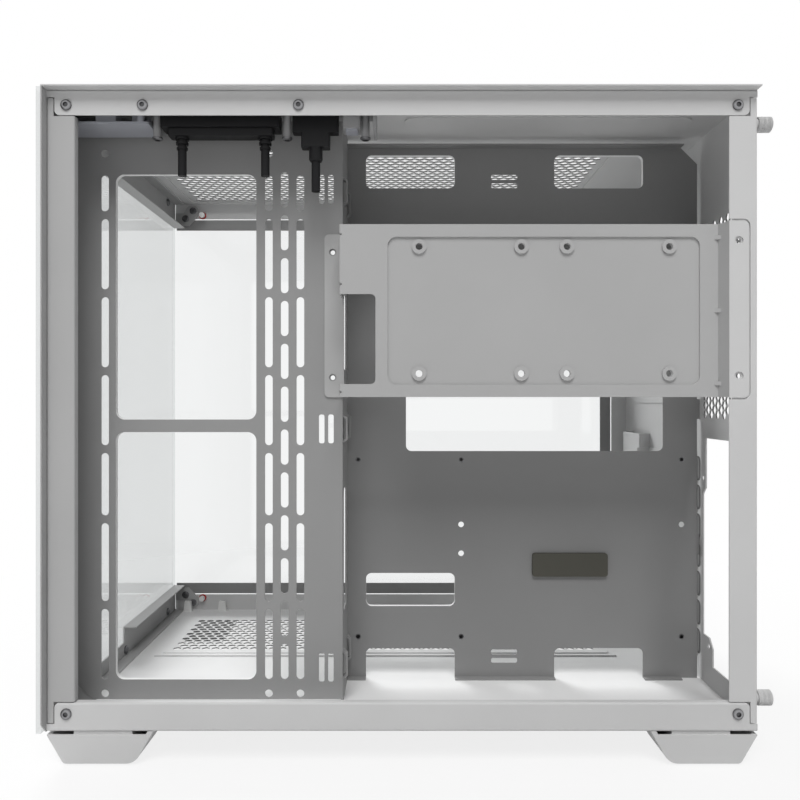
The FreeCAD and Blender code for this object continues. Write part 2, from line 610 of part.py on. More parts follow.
# Turns that point a turned piece's axis along the case's axes.
POINTS_RIGHT = FreeCAD.Rotation(FreeCAD.Vector(0, 1, 0), 90)
POINTS_LEFT = FreeCAD.Rotation(FreeCAD.Vector(0, 1, 0), -90)
POINTS_REAR = FreeCAD.Rotation(FreeCAD.Vector(1, 0, 0), -90)
POINTS_DOWN = FreeCAD.Rotation(FreeCAD.Vector(1, 0, 0), 180)


def set_of(name, master, turn, spots):
    """One node of equal pieces: linked copies of a master at their places."""
    copies = []
    for number, spot in enumerate(spots, start=1):
        copy = doc.addObject("App::Link", "%s_%d" % (name, number))
        copy.LinkedObject = master
        copy.Placement = FreeCAD.Placement(FreeCAD.Vector(0, 0, 0), turn)
        place(copy, *spot)
        copies.append(copy)
    group = doc.addObject("Part::Compound", name)
    group.Label = name
    group.Links = copies
    nodes.append(group)
    return group


def perforated(name, plate, plane, at, low, high, pitch, keep=None):
    """Cuts a plate with a staggered field of six-sided holes between two corners."""
    step = measure(pitch)
    radius = step * (1 - measure("mesh_web")) / math.sqrt(3)
    row_step = step * math.sqrt(3) / 2
    left, bottom = measure(low[0]), measure(low[1])
    wide, tall = measure(high[0]) - left, measure(high[1]) - bottom
    across_count = max(1, int((wide - step / 2) // step))
    row_count = max(1, int((tall - 2 * radius) // row_step) + 1)
    start_u = left + (wide - (across_count - 0.5) * step) / 2
    start_v = bottom + (tall - (row_count - 1) * row_step) / 2
    thick = measure("4 * sheet")
    tools = []
    for line in range(row_count):
        for number in range(across_count):
            u = start_u + (number + 0.5 * (line % 2)) * step
            v = start_v + line * row_step
            if keep is not None and not keep(u, v):
                continue
            ring = []
            for corner in range(7):
                angle = math.radians(60 * corner + 30)
                ring.append((u + radius * math.cos(angle), v + radius * math.sin(angle)))
            ring[6] = ring[0]
            depth = measure(at) - thick / 2
            if plane == "XY_Plane":
                points = [FreeCAD.Vector(p, q, depth) for p, q in ring]
                way = FreeCAD.Vector(0, 0, thick)
            else:
                points = [FreeCAD.Vector(p, depth, q) for p, q in ring]
                way = FreeCAD.Vector(0, thick, 0)
            tools.append(Part.Face(Part.makePolygon(points)).extrude(way))
    field = doc.addObject("Part::Feature", name + "_holes")
    field.Shape = Part.makeCompound(tools)
    place(field)
    result = doc.addObject("Part::Cut", name)
    result.Label = name
    result.Base = plate
    result.Tool = field
    nodes.append(result)
    return result


def lap_cut(item, edge, way, beam, high):
    """Steps the end of a column back under the beam that laps over it at a corner."""
    def along(text):
        return "%s + %d * (%s)" % (edge, way, text)

    def up(text):
        return "frame_height - (%s)" % text if high else text

    drawing = sketch(item, "YZ_Plane", "frame_width - lip - seam")
    window(drawing, (along("-sheet"), up("-sheet")), (along("lap_in - seam"), up("lap_step + seam")))
    cut(item, drawing, "lip + 2 * seam", "YZ_Plane")
    drawing = sketch(item, "YZ_Plane", "frame_width - lip - seam")
    window(drawing, (along("lap_in - seam"), up("-sheet")),
           (along("column_face + sheet"), up("%s + seam" % beam)))
    cut(item, drawing, "lip + 2 * seam", "YZ_Plane")


def lap_ends(item, beam, high):
    """Steps both ends of a beam so that it laps over the two columns."""
    def up(text):
        return "frame_height - (%s)" % text if high else text

    drawing = sketch(item, "YZ_Plane", "frame_width - lip - seam")
    for edge, way in (("0", 1), ("frame_length", -1)):
        corners = [(-1, "%s + sheet" % beam), ("lap_in + 3 * lap_round", "%s + sheet" % beam),
                   ("lap_in + 3 * lap_round", beam), ("lap_in", beam, "lap_round"),
                   ("lap_in", "lap_step"), (-1, "lap_step")]
        corners = [("%s + %d * (%s)" % (edge, way, c[0]), up(c[1])) + c[2:] for c in corners]
        outline(drawing, corners)
    cut(item, drawing, "lip + 2 * seam", "YZ_Plane")


def frame_screw_holes(item, spots, size="screw_hole"):
    drawing = sketch(item, "YZ_Plane", "frame_width - 2 * sheet")
    for along, up in spots:
        hole(drawing, along, up, size)
    cut(item, drawing, "3 * sheet", "YZ_Plane")


UPPER_SCREWS = [("corner_screw", "screw_row_high"), ("beam_screw_near", "screw_row_high"),
                ("beam_screw_mid", "screw_row_high"), ("corner_rear", "screw_row_high")]
LOWER_SCREWS = [("corner_screw", "screw_up_low"), ("corner_rear", "screw_up_low")]


def make_floor_pan():
    """Folded pan: floor with a filter guide, lower right beam with its lip, and the left flange."""
    item = body("floor_pan")
    drawing = sketch(item, "XZ_Plane")
    outline(drawing, [
        ("0", "0", "bend"), ("frame_width", "0", "bend"), ("frame_width", "bottom_beam", "bend"),
        ("frame_width - lip", "bottom_beam"), ("frame_width - lip", "bottom_beam - sheet"),
        ("frame_width - sheet", "bottom_beam - sheet"), ("frame_width - sheet", "sheet"),
        ("sheet", "sheet"), ("sheet", "left_flange"), ("0", "left_flange")])
    pad(item, drawing, "frame_length", "XZ_Plane")
    lap_ends(item, "bottom_beam", False)
    frame_screw_holes(item, LOWER_SCREWS)
    drawing = sketch(item, "XY_Plane", "-sheet")
    window(drawing, ("sieve_left", "sieve_front"), ("sieve_right", "sieve_rear"), "opening_round")
    cut(item, drawing, "3 * sheet", "XY_Plane")
    drawing = sketch(item, "XY_Plane", "sheet")
    window(drawing, ("frame_width - guide_near - sheet", "guide_front"),
           ("frame_width - guide_near", "guide_rear"))
    pad(item, drawing, "sheet", "XY_Plane")


def make_top_frame():
    """Folded frame: ceiling, upper right beam, left flange and the port cut-outs."""
    item = body("top_frame")
    drawing = sketch(item, "XZ_Plane")
    outline(drawing, [
        ("0", "frame_height", "bend"), ("0", "frame_height - left_flange"),
        ("sheet", "frame_height - left_flange"), ("sheet", "under_top"),
        ("frame_width - sheet", "under_top"), ("frame_width - sheet", "frame_height - top_beam"),
        ("frame_width", "frame_height - top_beam"), ("frame_width", "frame_height", "bend")])
    pad(item, drawing, "frame_length", "XZ_Plane")
    lap_ends(item, "top_beam", True)
    frame_screw_holes(item, UPPER_SCREWS)
    drawing = sketch(item, "XY_Plane", "under_top - sheet")
    window(drawing, ("mesh_left", "mesh_front"), ("mesh_right", "mesh_rear"), "opening_round")
    cut(item, drawing, "3 * sheet", "XY_Plane")
    drawing = sketch(item, "XY_Plane", "under_top - bead_drop")
    window(drawing, ("frame_width - bead_deep", "divider + bead_front"),
           ("frame_width - bead_near", "frame_length - bead_inset"), "bead_round")
    pad(item, drawing, "bead_drop", "XY_Plane")
    drawing = sketch(item, "XY_Plane", "under_top - sheet")
    port_holes(drawing)
    cut(item, drawing, "3 * sheet", "XY_Plane")


def port_holes(drawing):
    """Cut-outs over the buttons and ports, the same through every sheet above the port holder."""
    hole(drawing, "holder_middle", "power_along", "power_size + 2 * button_play")
    hole(drawing, "holder_middle", "reset_along", "reset_size + 2 * button_play")
    for along in ("usb_front + usb_lead", "usb_front + usb_lead + usb_lead_gap"):
        window(drawing, ("holder_middle - port_short / 2 - play", along + " - port_long / 2 - play"),
               ("holder_middle + port_short / 2 + play", along + " + port_long / 2 + play"))
    slot(drawing, "holder_middle",
         "reversible_front + reversible_length / 2 - reversible_long / 2 - play",
         "reversible_front + reversible_length / 2 + reversible_long / 2 + play",
         "reversible_short + 2 * play")
    hole(drawing, "holder_middle", "audio_front + audio_length / 2", "audio_size + 2 * play")


def make_mesh_plates():
    """The perforated top panel with its overhang, and the perforated plate of the floor."""
    field_low = ("mesh_left + mesh_rim", "mesh_front + mesh_rim")
    field_high = ("mesh_right - mesh_rim", "mesh_rear - mesh_rim")
    plate = body("top_panel_plate", node=False)
    drawing = sketch(plate, "XY_Plane", "frame_height")
    outline(drawing, [("0", "-skin"), ("frame_width", "-skin"),
                      ("frame_width + skin_overhang", "-skin"),
                      ("frame_width + skin_overhang", "frame_length"), ("0", "frame_length")])
    pad(plate, drawing, "skin", "XY_Plane")
    drawing = sketch(plate, "XY_Plane", "frame_height - sheet")
    port_holes(drawing)
    cut(plate, drawing, "2 * sheet + skin", "XY_Plane")
    perforated("top_panel", plate, "XY_Plane", "frame_height", field_low, field_high, "mesh_pitch")
    plate = body("floor_mesh_plate", node=False)
    drawing = sketch(plate, "XY_Plane", "sheet")
    window(drawing, ("sieve_left - mesh_rim", "sieve_front - mesh_rim"),
           ("sieve_right + mesh_rim", "sieve_rear + mesh_rim"), "mesh_rim")
    pad(plate, drawing, "skin", "XY_Plane")
    field_low = ("sieve_left", "sieve_front")
    field_high = ("sieve_right", "sieve_rear")
    perforated("floor_mesh", plate, "XY_Plane", "sheet", field_low, field_high, "sieve_pitch")


def make_front_column():
    """Folded column: right face with its lip, front web, and the flange that carries the fan plate."""
    item = body("front_column")
    drawing = sketch(item, "XY_Plane", "sheet")
    seat = "fan_across - 2 * sheet"
    outline(drawing, [
        ("frame_width - lip", "column_face - sheet"), ("frame_width - sheet", "column_face - sheet"),
        ("frame_width - sheet", "sheet"), (seat + " + sheet", "sheet"),
        (seat + " + sheet", "seat_flange"), (seat, "seat_flange"), (seat, "0"),
        ("frame_width", "0", "bend"), ("frame_width", "column_face", "bend"),
        ("frame_width - lip", "column_face")])
    pad(item, drawing, "frame_height - 2 * sheet", "XY_Plane")
    lap_cut(item, "0", 1, "top_beam", True)
    lap_cut(item, "0", 1, "bottom_beam", False)


def make_front_skin():
    """Strip in front of the column that stands proud of the right side, with a mitred foot."""
    item = body("front_skin")
    drawing = sketch(item, "XZ_Plane", "-skin")
    outline(drawing, [
        ("frame_width - column_skin", "0"), ("frame_width", "0"),
        ("frame_width + skin_overhang", "skin_overhang"),
        ("frame_width + skin_overhang", "frame_height"), ("frame_width - column_skin", "frame_height")])
    pad(item, drawing, "skin", "XZ_Plane")


def make_rear_panel():
    """Rear wall with the rear column, the left column and every rear opening."""
    item = body("rear_panel")
    drawing = sketch(item, "XY_Plane", "sheet")
    outline(drawing, [
        ("frame_width - sheet", "frame_length - column_face"),
        ("frame_width", "frame_length - column_face"), ("frame_width", "frame_length", "bend"),
        ("0", "frame_length", "bend"), ("0", "frame_length - left_column"),
        ("sheet", "frame_length - left_column"), ("sheet", "rear_wall"),
        ("frame_width - sheet", "rear_wall")])
    pad(item, drawing, "frame_height - 2 * sheet", "XY_Plane")
    lap_cut(item, "frame_length", -1, "top_beam", True)
    lap_cut(item, "frame_length", -1, "bottom_beam", False)
    for low, high in (("0", "left_flange + seam"), ("frame_height - left_flange - seam", "frame_height")):
        drawing = sketch(item, "YZ_Plane", "-sheet")
        window(drawing, ("frame_length - left_column - sheet", low), ("frame_length + sheet", high))
        cut(item, drawing, "2 * sheet + seam", "YZ_Plane")
    drawing = sketch(item, "XZ_Plane", "rear_wall - sheet")
    supply_opening(drawing)
    window(drawing, ("frame_width - vent_deep", "vent_low"), ("frame_width - vent_near", "vent_high"),
           "vent_round")
    window(drawing, ("frame_width - port_near - port_width", "port_low"),
           ("frame_width - port_near", "port_low + port_height"))
    hole(drawing, "frame_width - rear_fan_across", "rear_fan_up", "rear_fan")
    cut(item, drawing, "3 * sheet", "XZ_Plane")
    drawing = sketch(item, "XZ_Plane", "rear_wall - sheet")
    for number in range(7):
        middle = "card_low + %d * card_pitch" % number
        window(drawing, ("frame_width - card_near - card_length", middle + " - card_width / 2"),
               ("frame_width - card_near", middle + " + card_width / 2"))
    for across, up in SUPPLY_SCREWS:
        hole(drawing, across, up, "supply_screw")
    for across, up in FAN_SCREWS:
        hole(drawing, across, up, "fan_screw")
    for up in ("thumb_low", "thumb_high"):
        hole(drawing, "frame_width - thumb_depth", up, "thumb_shank + play")
    cut(item, drawing, "3 * sheet", "XZ_Plane")
    tab_seat(item)


def tab_seat(item):
    """Seat of the drive bracket's rear tab: the column's face is open there over a plate behind it."""
    low = "bracket_low - tab_over - tab_gap"
    high = "bracket_low + bracket_height + tab_over + tab_gap"
    end = "tab_start + bracket_tab + tab_gap"
    drawing = sketch(item, "YZ_Plane", "frame_width - lip - seam")
    outline(drawing, [("tab_start - tab_gap", low), (end, low, "tab_round + tab_gap"),
                      (end, high, "tab_round + tab_gap"), ("tab_start - tab_gap", high)])
    cut(item, drawing, "lip + 2 * seam", "YZ_Plane")
    drawing = sketch(item, "YZ_Plane", "frame_width - 2 * sheet")
    window(drawing, ("tab_start + 2 * sheet", low + " - sheet"), (end + " + sheet", high + " + sheet"))
    for up in ("bracket_screw_low", "bracket_screw_high"):
        hole(drawing, BRACKET_TABS[1][1], up, "seat_hole")
    pad(item, drawing, "sheet", "YZ_Plane")


# The standard screw pattern of a power supply, from its lower right corner: up, then across.
SUPPLY_PATTERN = [(6, 6), (144, 6), (6, 70), (120, 80)]
SUPPLY_SCREWS = [("frame_width - supply_side - %d" % across, "supply_base + %d" % up)
                 for up, across in SUPPLY_PATTERN]


FAN_SCREWS = [("frame_width - rear_fan_across %s rear_fan_screws / 2" % side,
               "rear_fan_up %s rear_fan_screws / 2" % rise) for side in "+-" for rise in "+-"]


def supply_opening(drawing):
    """Power supply opening with a screw tab at each end of its deep edge."""
    near, deep = "frame_width - supply_near", "frame_width - supply_deep"
    upper = deep + " + supply_step"
    lower = deep + " + supply_tab"
    outline(drawing, [
        (near, "supply_low", "opening_round"), (near, "supply_high", "opening_round"),
        (upper, "supply_high"), (upper, "supply_step_low"), (deep, "supply_step_low - supply_step"),
        (deep, "supply_tab_high"), (lower + " - supply_tab_cut", "supply_tab_high"),
        (lower, "supply_tab_high - supply_tab_cut"), (lower, "supply_low")])


def make_rear_vents():
    """Perforated plates inside the rear panel: the cable chamber's vent and the rear fan's grille."""
    at = "rear_wall - skin"
    plate = body("rear_vent_plate", node=False)
    low = ("frame_width - vent_deep", "vent_low")
    high = ("frame_width - vent_near", "vent_high")
    drawing = sketch(plate, "XZ_Plane", at)
    window(drawing, (low[0] + " - vent_margin", low[1] + " - vent_margin"),
           (high[0] + " + vent_margin", high[1] + " + vent_margin"), "vent_round")
    pad(plate, drawing, "skin", "XZ_Plane")
    perforated("rear_vent", plate, "XZ_Plane", at, low, high, "vent_pitch")
    plate = body("fan_grille_plate", node=False)
    half = "rear_fan / 2"
    edge = "(rear_fan / 2 + vent_margin)"
    middle = ("frame_width - rear_fan_across", "rear_fan_up")
    drawing = sketch(plate, "XZ_Plane", at)
    window(drawing, ("%s - %s" % (middle[0], edge), "%s - %s" % (middle[1], edge)),
           ("%s + %s" % (middle[0], edge), "%s + %s" % (middle[1], edge)), "vent_round")
    pad(plate, drawing, "skin", "XZ_Plane")
    drawing = sketch(plate, "XZ_Plane", at + " - sheet")
    for across, up in FAN_SCREWS:
        hole(drawing, across, up, "fan_screw")
    cut(plate, drawing, "3 * sheet", "XZ_Plane")
    centre = [measure(text) for text in middle]
    reach = measure("rear_fan / 2 - fan_hole_pitch / 2")

    def inside(u, v):
        return math.hypot(u - centre[0], v - centre[1]) <= reach

    perforated("fan_grille", plate, "XZ_Plane", at,
               ("%s - %s" % (middle[0], half), "%s - %s" % (middle[1], half)),
               ("%s + %s" % (middle[0], half), "%s + %s" % (middle[1], half)), "fan_hole_pitch", inside)


def make_tray():
    """Motherboard tray with its flanges, cable openings, cooler cut-out and screw holes."""
    item = body("motherboard_tray")
    drawing = sketch(item, "YZ_Plane", "tray_across - sheet")
    corners = [("divider", "sheet")]
    for front in ("grip_front", "grip_rear"):
        corners += [(front, "sheet"), (front, "notch_height", "opening_round"),
                    (front + " + grip_length", "notch_height", "opening_round"),
                    (front + " + grip_length", "sheet")]
    corners += [("tray_rear - tray_corner", "sheet"), ("tray_rear", "sheet + tray_corner"),
                ("tray_rear", "tray_top - tray_corner"), ("tray_rear - tray_corner", "tray_top"),
                ("divider", "tray_top")]
    outline(drawing, corners)
    pad(item, drawing, "sheet", "YZ_Plane")
    drawing = sketch(item, "YZ_Plane", "tray_across - sheet")
    for number in range(3):
        middle = "frame_height * %d / 4" % (number + 1)
        window(drawing, ("tray_rear", middle + " - tray_tab / 2"),
               ("rear_wall", middle + " + tray_tab / 2"))
    pad(item, drawing, "sheet", "YZ_Plane")
    drawing = sketch(item, "XY_Plane", "tray_top - sheet")
    window(drawing, ("tray_across - sheet", "divider"),
           ("tray_across + tray_flange", "tray_rear - tray_corner"))
    pad(item, drawing, "sheet", "XY_Plane")
    drawing = sketch(item, "XY_Plane", "sheet")
    for start, end in (("divider", "grip_front"), ("grip_front + grip_length", "grip_rear"),
                       ("grip_rear + grip_length", "tray_rear - tray_corner")):
        window(drawing, ("tray_across - sheet", start), ("tray_across + tray_foot", end))
    pad(item, drawing, "sheet", "XY_Plane")
    drawing = sketch(item, "YZ_Plane", "tray_across - 2 * sheet")
    for low, high in TRAY_GRIPS:
        window(drawing, low, high, "opening_round")
    window(drawing, ("cooler_front", "cooler_low"), ("cooler_rear", "cooler_high"), "opening_round")
    for low in ("tray_tie_low", "tray_tie_high"):
        for step in ("0", "tie_width + tie_bar"):
            window(drawing, ("tray_tie_along", "%s + %s" % (low, step)),
                   ("tray_tie_along + tie_length", "%s + %s + tie_width" % (low, step)), "bend")
    cut(item, drawing, "3 * sheet", "YZ_Plane")
    drawing = sketch(item, "YZ_Plane", "tray_across - 2 * sheet")
    for along, up in STANDOFFS:
        hole(drawing, along, up, "standoff_shank + play")
    for along, up in SPARE_HOLES:
        hole(drawing, along, up, "screw_hole")
    cut(item, drawing, "3 * sheet", "YZ_Plane")
    hem_edges(item, "tray_across", TRAY_GRIPS, "opening_round")


TRAY_GRIPS = [((front, low), (front + " + grip_length", low + " + grip_height"))
              for front, low in (("grip_front", "grip_top"), ("grip_rear", "grip_top"),
                                 ("grip_front", "grip_low"))]
STANDOFFS = [(along, up) for up in ("board_top", "board_second_row", "board_third_row")
             for along in ("board_front_row", "board_mid_row", "board_rear")]
SPARE_HOLES = [("board_mid_row", "board_compact_row"), ("board_rear", "board_compact_row"),
               ("board_mid_row", "board_small_row")]


def make_fan_plate():
    """Fan plate: two windows, slotted screw columns, and the return wall that meets the tray."""
    item = body("fan_plate")
    drawing = sketch(item, "YZ_Plane", "fan_across - sheet")
    outline(drawing, [
        ("sheet + plate_corner", "plate_foot"), ("divider", "plate_foot"), ("divider", "under_top"),
        ("sheet", "under_top"), ("sheet", "plate_foot + plate_corner")])
    pad(item, drawing, "sheet", "YZ_Plane")
    drawing = sketch(item, "XZ_Plane", "divider - sheet")
    window(drawing, ("tray_across - sheet", "sheet"), ("fan_across", "under_top"))
    pad(item, drawing, "sheet", "XZ_Plane")
    drawing = sketch(item, "XZ_Plane", "divider - 2 * sheet")
    middle = "(tray_across + fan_across) / 2"
    for low, length in (("wall_slot_low", "wall_slot_low_length"),
                        ("wall_slot_high", "wall_slot_high_length")):
        window(drawing, (middle + " - wall_slot / 2", low),
               (middle + " + wall_slot / 2", "%s + %s" % (low, length)), "opening_round")
    cut(item, drawing, "3 * sheet", "XZ_Plane")
    drawing = sketch(item, "YZ_Plane", "fan_across - 2 * sheet")
    for low, high in FAN_WINDOWS:
        window(drawing, low, high, "window_round")
    for low in ("tie_low", "tie_mid", "tie_high"):
        for step in ("0", "tie_width + tie_bar"):
            window(drawing, ("tie_along + " + step, low),
                   ("tie_along + %s + tie_width" % step, low + " + tie_length"), "bend")
    cut(item, drawing, "3 * sheet", "YZ_Plane")
    lengths = ["slot_long", "slot_longest", "slot_mid", "slot_long", "slot_long", "slot_long", "slot_short"]
    for along in ("first_slots", "slot_columns_start", "slot_columns_start + 2 * slot_columns"):
        drawing = sketch(item, "YZ_Plane", "fan_across - 2 * sheet")
        low = "slot_start"
        for length in lengths:
            high = "%s + %s * slot_fit" % (low, length)
            slot(drawing, along, low, high, "slot_width")
            low = high + " + slot_gap"
        hole(drawing, along, "plate_hole_low", "slot_width")
        cut(item, drawing, "3 * sheet", "YZ_Plane")
    drawing = sketch(item, "YZ_Plane", "fan_across - 2 * sheet")
    slot(drawing, "slot_columns_start + slot_columns", "slot_start", "slot_start + dense_slot",
         "slot_width")
    first = cut(item, drawing, "3 * sheet", "YZ_Plane")
    doc.recompute()
    rows = item.newObject("PartDesign::LinearPattern", "dense_column")
    rows.Originals = [first]
    rows.Direction = (drawing, ["V_Axis"])
    bind(rows, "Length", "dense_pitch * (dense_count - 1)")
    bind(rows, "Occurrences", "dense_count")
    item.Tip = rows
    drawing = sketch(item, "YZ_Plane", "fan_across - 2 * sheet")
    for along in ("first_slots", "slot_columns_start"):
        hole(drawing, along, "plate_hole_high", "slot_width")
    for up in ("bracket_screw_low", "bracket_screw_high"):
        hole(drawing, BRACKET_TABS[0][1], up, "seat_hole")
    cut(item, drawing, "3 * sheet", "YZ_Plane")
    hem_edges(item, "fan_across", FAN_WINDOWS, "window_round")
    for low in ("tie_low", "tie_mid", "tie_high"):
        for across in ("tray_across + bridge_inset", "fan_across - bridge_inset - bridge_width"):
            tie_bridge(item, across, low)


FAN_WINDOWS = [(("window_front", low), ("window_rear", high))
               for low, high in (("window_low", "window_bar_low"), ("window_bar_high", "window_high"))]


def hem_edges(item, across, openings, radius):
    """Turns the edges of openings back from a plate whose near face is at the given place."""
    drawing = sketch(item, "YZ_Plane", across + " - sheet - hem")
    for low, high in openings:
        window(drawing, (low[0] + " - sheet", low[1] + " - sheet"),
               (high[0] + " + sheet", high[1] + " + sheet"), radius + " + sheet")
        window(drawing, low, high, radius)
    pad(item, drawing, "hem", "YZ_Plane")


def tie_bridge(item, across, low):
    """A bridge lanced out of the return wall, for a cable tie."""
    face = "divider - play"
    out = "divider + bridge_reach"
    inside = out + " - sheet"
    top = low + " + tie_length"
    drawing = sketch(item, "YZ_Plane", across)
    outline(drawing, [
        (face, low), (out, low + " + bridge_slope"), (out, top + " - bridge_slope"), (face, top),
        (face, top + " - 1.5 * sheet"), (inside, top + " - bridge_slope - sheet"),
        (inside, low + " + bridge_slope + sheet"), (face, low + " + 1.5 * sheet")])
    pad(item, drawing, "bridge_width", "YZ_Plane")


def make_drive_bracket():
    """Folded bracket for two drives: front tab on the fan plate, rear tab on the rear column."""
    item = body("drive_bracket")
    drawing = sketch(item, "XY_Plane", "bracket_low")
    wall = "divider"
    jog = "tab_start - bracket_jog"
    outline(drawing, [
        ("fan_across", wall), ("bracket_across", wall, "bend"), ("bracket_across", jog),
        ("bracket_across + bracket_rise", "tab_start"),
        ("bracket_across + bracket_rise", "tab_start + sheet"),
        ("bracket_across + bracket_rise - sheet", "tab_start + sheet"),
        ("bracket_across + bracket_rise - sheet", "tab_start + sheet / 2"),
        ("bracket_across - sheet", jog + " + sheet / 2"), ("bracket_across - sheet", wall + " + sheet"),
        ("fan_across", wall + " + sheet")])
    pad(item, drawing, "bracket_height", "XY_Plane")
    top = "bracket_low + bracket_height"
    drawing = sketch(item, "YZ_Plane", "fan_across")
    outline(drawing, [(wall + " - bracket_tab", "bracket_low", "tab_round"),
                      (wall + " + sheet", "bracket_low"), (wall + " + sheet", top),
                      (wall + " - bracket_tab", top, "tab_round")])
    pad(item, drawing, "sheet", "YZ_Plane")
    drawing = sketch(item, "YZ_Plane", "bracket_across + bracket_rise - sheet")
    outline(drawing, [("tab_start", "bracket_low - tab_over"),
                      ("tab_start + bracket_tab", "bracket_low - tab_over", "tab_round"),
                      ("tab_start + bracket_tab", top + " + tab_over", "tab_round"),
                      ("tab_start", top + " + tab_over")])
    pad(item, drawing, "sheet", "YZ_Plane")
    for low in ("bracket_low + dart_inset", "bracket_low + (bracket_height - dart) / 2",
                top + " - dart_inset - dart"):
        drawing = sketch(item, "XY_Plane", low)
        outline(drawing, [("bracket_across - sheet / 2", jog + " - dart"),
                          ("bracket_across", jog + " - dart"),
                          ("bracket_across + dart", jog + " + dart / 2"),
                          ("bracket_across - sheet / 2", jog + " + dart / 2")])
        pad(item, drawing, "dart", "XY_Plane")
    drawing = sketch(item, "YZ_Plane", "bracket_across - sheet - recess")
    window(drawing, ("recess_front - recess_wall", "recess_low - recess_wall"),
           ("recess_rear + recess_wall", "recess_high + recess_wall"), "window_round + recess_wall")
    pad(item, drawing, "recess", "YZ_Plane")
    drawing = sketch(item, "YZ_Plane", "bracket_across - recess")
    window(drawing, ("recess_front", "recess_low"), ("recess_rear", "recess_high"), "window_round")
    cut(item, drawing, "recess + sheet", "YZ_Plane")
    drawing = sketch(item, "YZ_Plane", "fan_across + 2 * sheet")
    outline(drawing, [(wall + " - sheet", "bracket_notch_low"),
                      (wall + " + bracket_notch", "bracket_notch_low", "tab_round"),
                      (wall + " + bracket_notch", "bracket_notch_high", "tab_round"),
                      (wall + " - sheet", "bracket_notch_high")])
    cut(item, drawing, "fan_depth", "YZ_Plane")
    drawing = sketch(item, "YZ_Plane", "bracket_across - 2 * sheet")
    for up in (top + " - tab_round * 2", "bracket_notch_high + tab_round * 2", "bracket_low + tab_round"):
        outline(drawing, [(wall + " - sheet", up + " - fold_notch"), (wall + " + fold_notch", up),
                          (wall + " - sheet", up + " + fold_notch")])
    cut(item, drawing, "3 * sheet", "YZ_Plane")
    drawing = sketch(item, "YZ_Plane", "bracket_across - recess - 2 * sheet")
    for along, up in DRIVE_SCREWS:
        hole(drawing, along, up, "grommet_neck + play")
    cut(item, drawing, "recess + 3 * sheet", "YZ_Plane")
    for (across, along), size in zip(BRACKET_TABS, ("front_tab_hole", "rear_tab_hole")):
        drawing = sketch(item, "YZ_Plane", across + " - sheet")
        for up in ("bracket_screw_low", "bracket_screw_high"):
            hole(drawing, along, up, size)
        cut(item, drawing, "3 * sheet", "YZ_Plane")


DRIVE_SCREWS = [(front + step, "drive_low" + rise)
                for front in ("drive_front", "drive_rear") for step in ("", " + drive_width")
                for rise in ("", " + drive_length")]
BRACKET_TABS = [("fan_across", "divider - bracket_tab / 2 - sheet / 2"),
                ("frame_width - sheet", "tab_start + bracket_tab / 2")]


def make_glass():
    """The front pane, and the side pane that laps over its edge."""
    item = body("front_glass")
    drawing = sketch(item, "XZ_Plane", "-skin - glass")
    window(drawing, ("play", "sheet"), ("frame_width + skin_overhang - sheet", "frame_height"))
    pad(item, drawing, "glass", "XZ_Plane")
    item = body("side_glass")
    drawing = sketch(item, "YZ_Plane", "-glass")
    window(drawing, ("-skin - glass", "sheet"), ("frame_length", "frame_height"))
    pad(item, drawing, "glass", "YZ_Plane")


def make_glass_frame():
    """Flat steel strip round three edges of the side pane, open at the front."""
    item = body("glass_frame")
    low = "left_flange + strip_gap"
    high = "frame_height - left_flange - strip_gap"
    rear = "frame_length - left_column - strip_gap"
    drawing = sketch(item, "YZ_Plane")
    outline(drawing, [
        ("strip_front", low), (rear, low, "bend"), (rear, high, "bend"), ("strip_front", high),
        ("strip_front", high + " - strip"), (rear + " - strip", high + " - strip"),
        (rear + " - strip", low + " + strip"), ("strip_front", low + " + strip")])
    pad(item, drawing, "sheet", "YZ_Plane")


def make_front_rails():
    """Channels behind the front pane's upper and lower edges, the lower one cut down at its near end."""
    for name, high in (("front_top_rail", True), ("front_bottom_rail", False)):
        item = body(name)
        drawing = sketch(item, "YZ_Plane", "sheet + gusset_sheet + play")

        def up(text):
            return "under_top - (%s)" % text if high else "sheet + (%s)" % text

        outline(drawing, [
            ("-skin", up("0")), ("rail_lip", up("0")), ("rail_lip", up("sheet")),
            ("-skin + sheet", up("sheet")), ("-skin + sheet", up("rail - 2 * sheet")),
            ("rail_lip", up("rail - 2 * sheet")), ("rail_lip", up("rail - sheet")),
            ("-skin", up("rail - sheet"))])
        pad(item, drawing, "fan_across - 3 * sheet - gusset_sheet - 2 * play", "YZ_Plane")
    drawing = sketch(item, "XZ_Plane", "-2 * skin")
    window(drawing, ("frame_width - rail_end", "sheet + rail_step"), ("fan_across", "rail + sheet"))
    cut(item, drawing, "rail_lip + 3 * skin", "XZ_Plane")


def make_corner_brackets():
    """Shaped plates on the left flanges that join the two glass corners: a wide part and an arm."""
    for name, high in (("corner_bracket_top", True), ("corner_bracket_bottom", False)):
        item = body(name)
        drawing = sketch(item, "YZ_Plane", "sheet")

        def up(text):
            return "under_top - (%s)" % text if high else "sheet + (%s)" % text

        front = "sheet - skin + play"
        outline(drawing, [
            (front, up("gusset_low")), ("gusset_base", up("gusset_low")),
            ("gusset_reach", up("gusset_low - gusset_arm")),
            ("gusset_reach", up("gusset_gap"), "gusset_round"),
            ("gusset_reach - gusset_arm", up("gusset_gap"), "gusset_round"),
            ("gusset_reach - gusset_arm - gusset_round", up("gusset_step")), (front, up("gusset_step"))])
        for along, step in GUSSET_SCREWS:
            hole(drawing, along, up(step), "screw_shank + play")
        pad(item, drawing, "gusset_sheet", "YZ_Plane")


GUSSET_SCREWS = [("gusset_base - screw_head / 2", "gusset_low - screw_head"),
                 ("gusset_reach - gusset_arm / 2", "gusset_gap + gusset_arm / 2")]


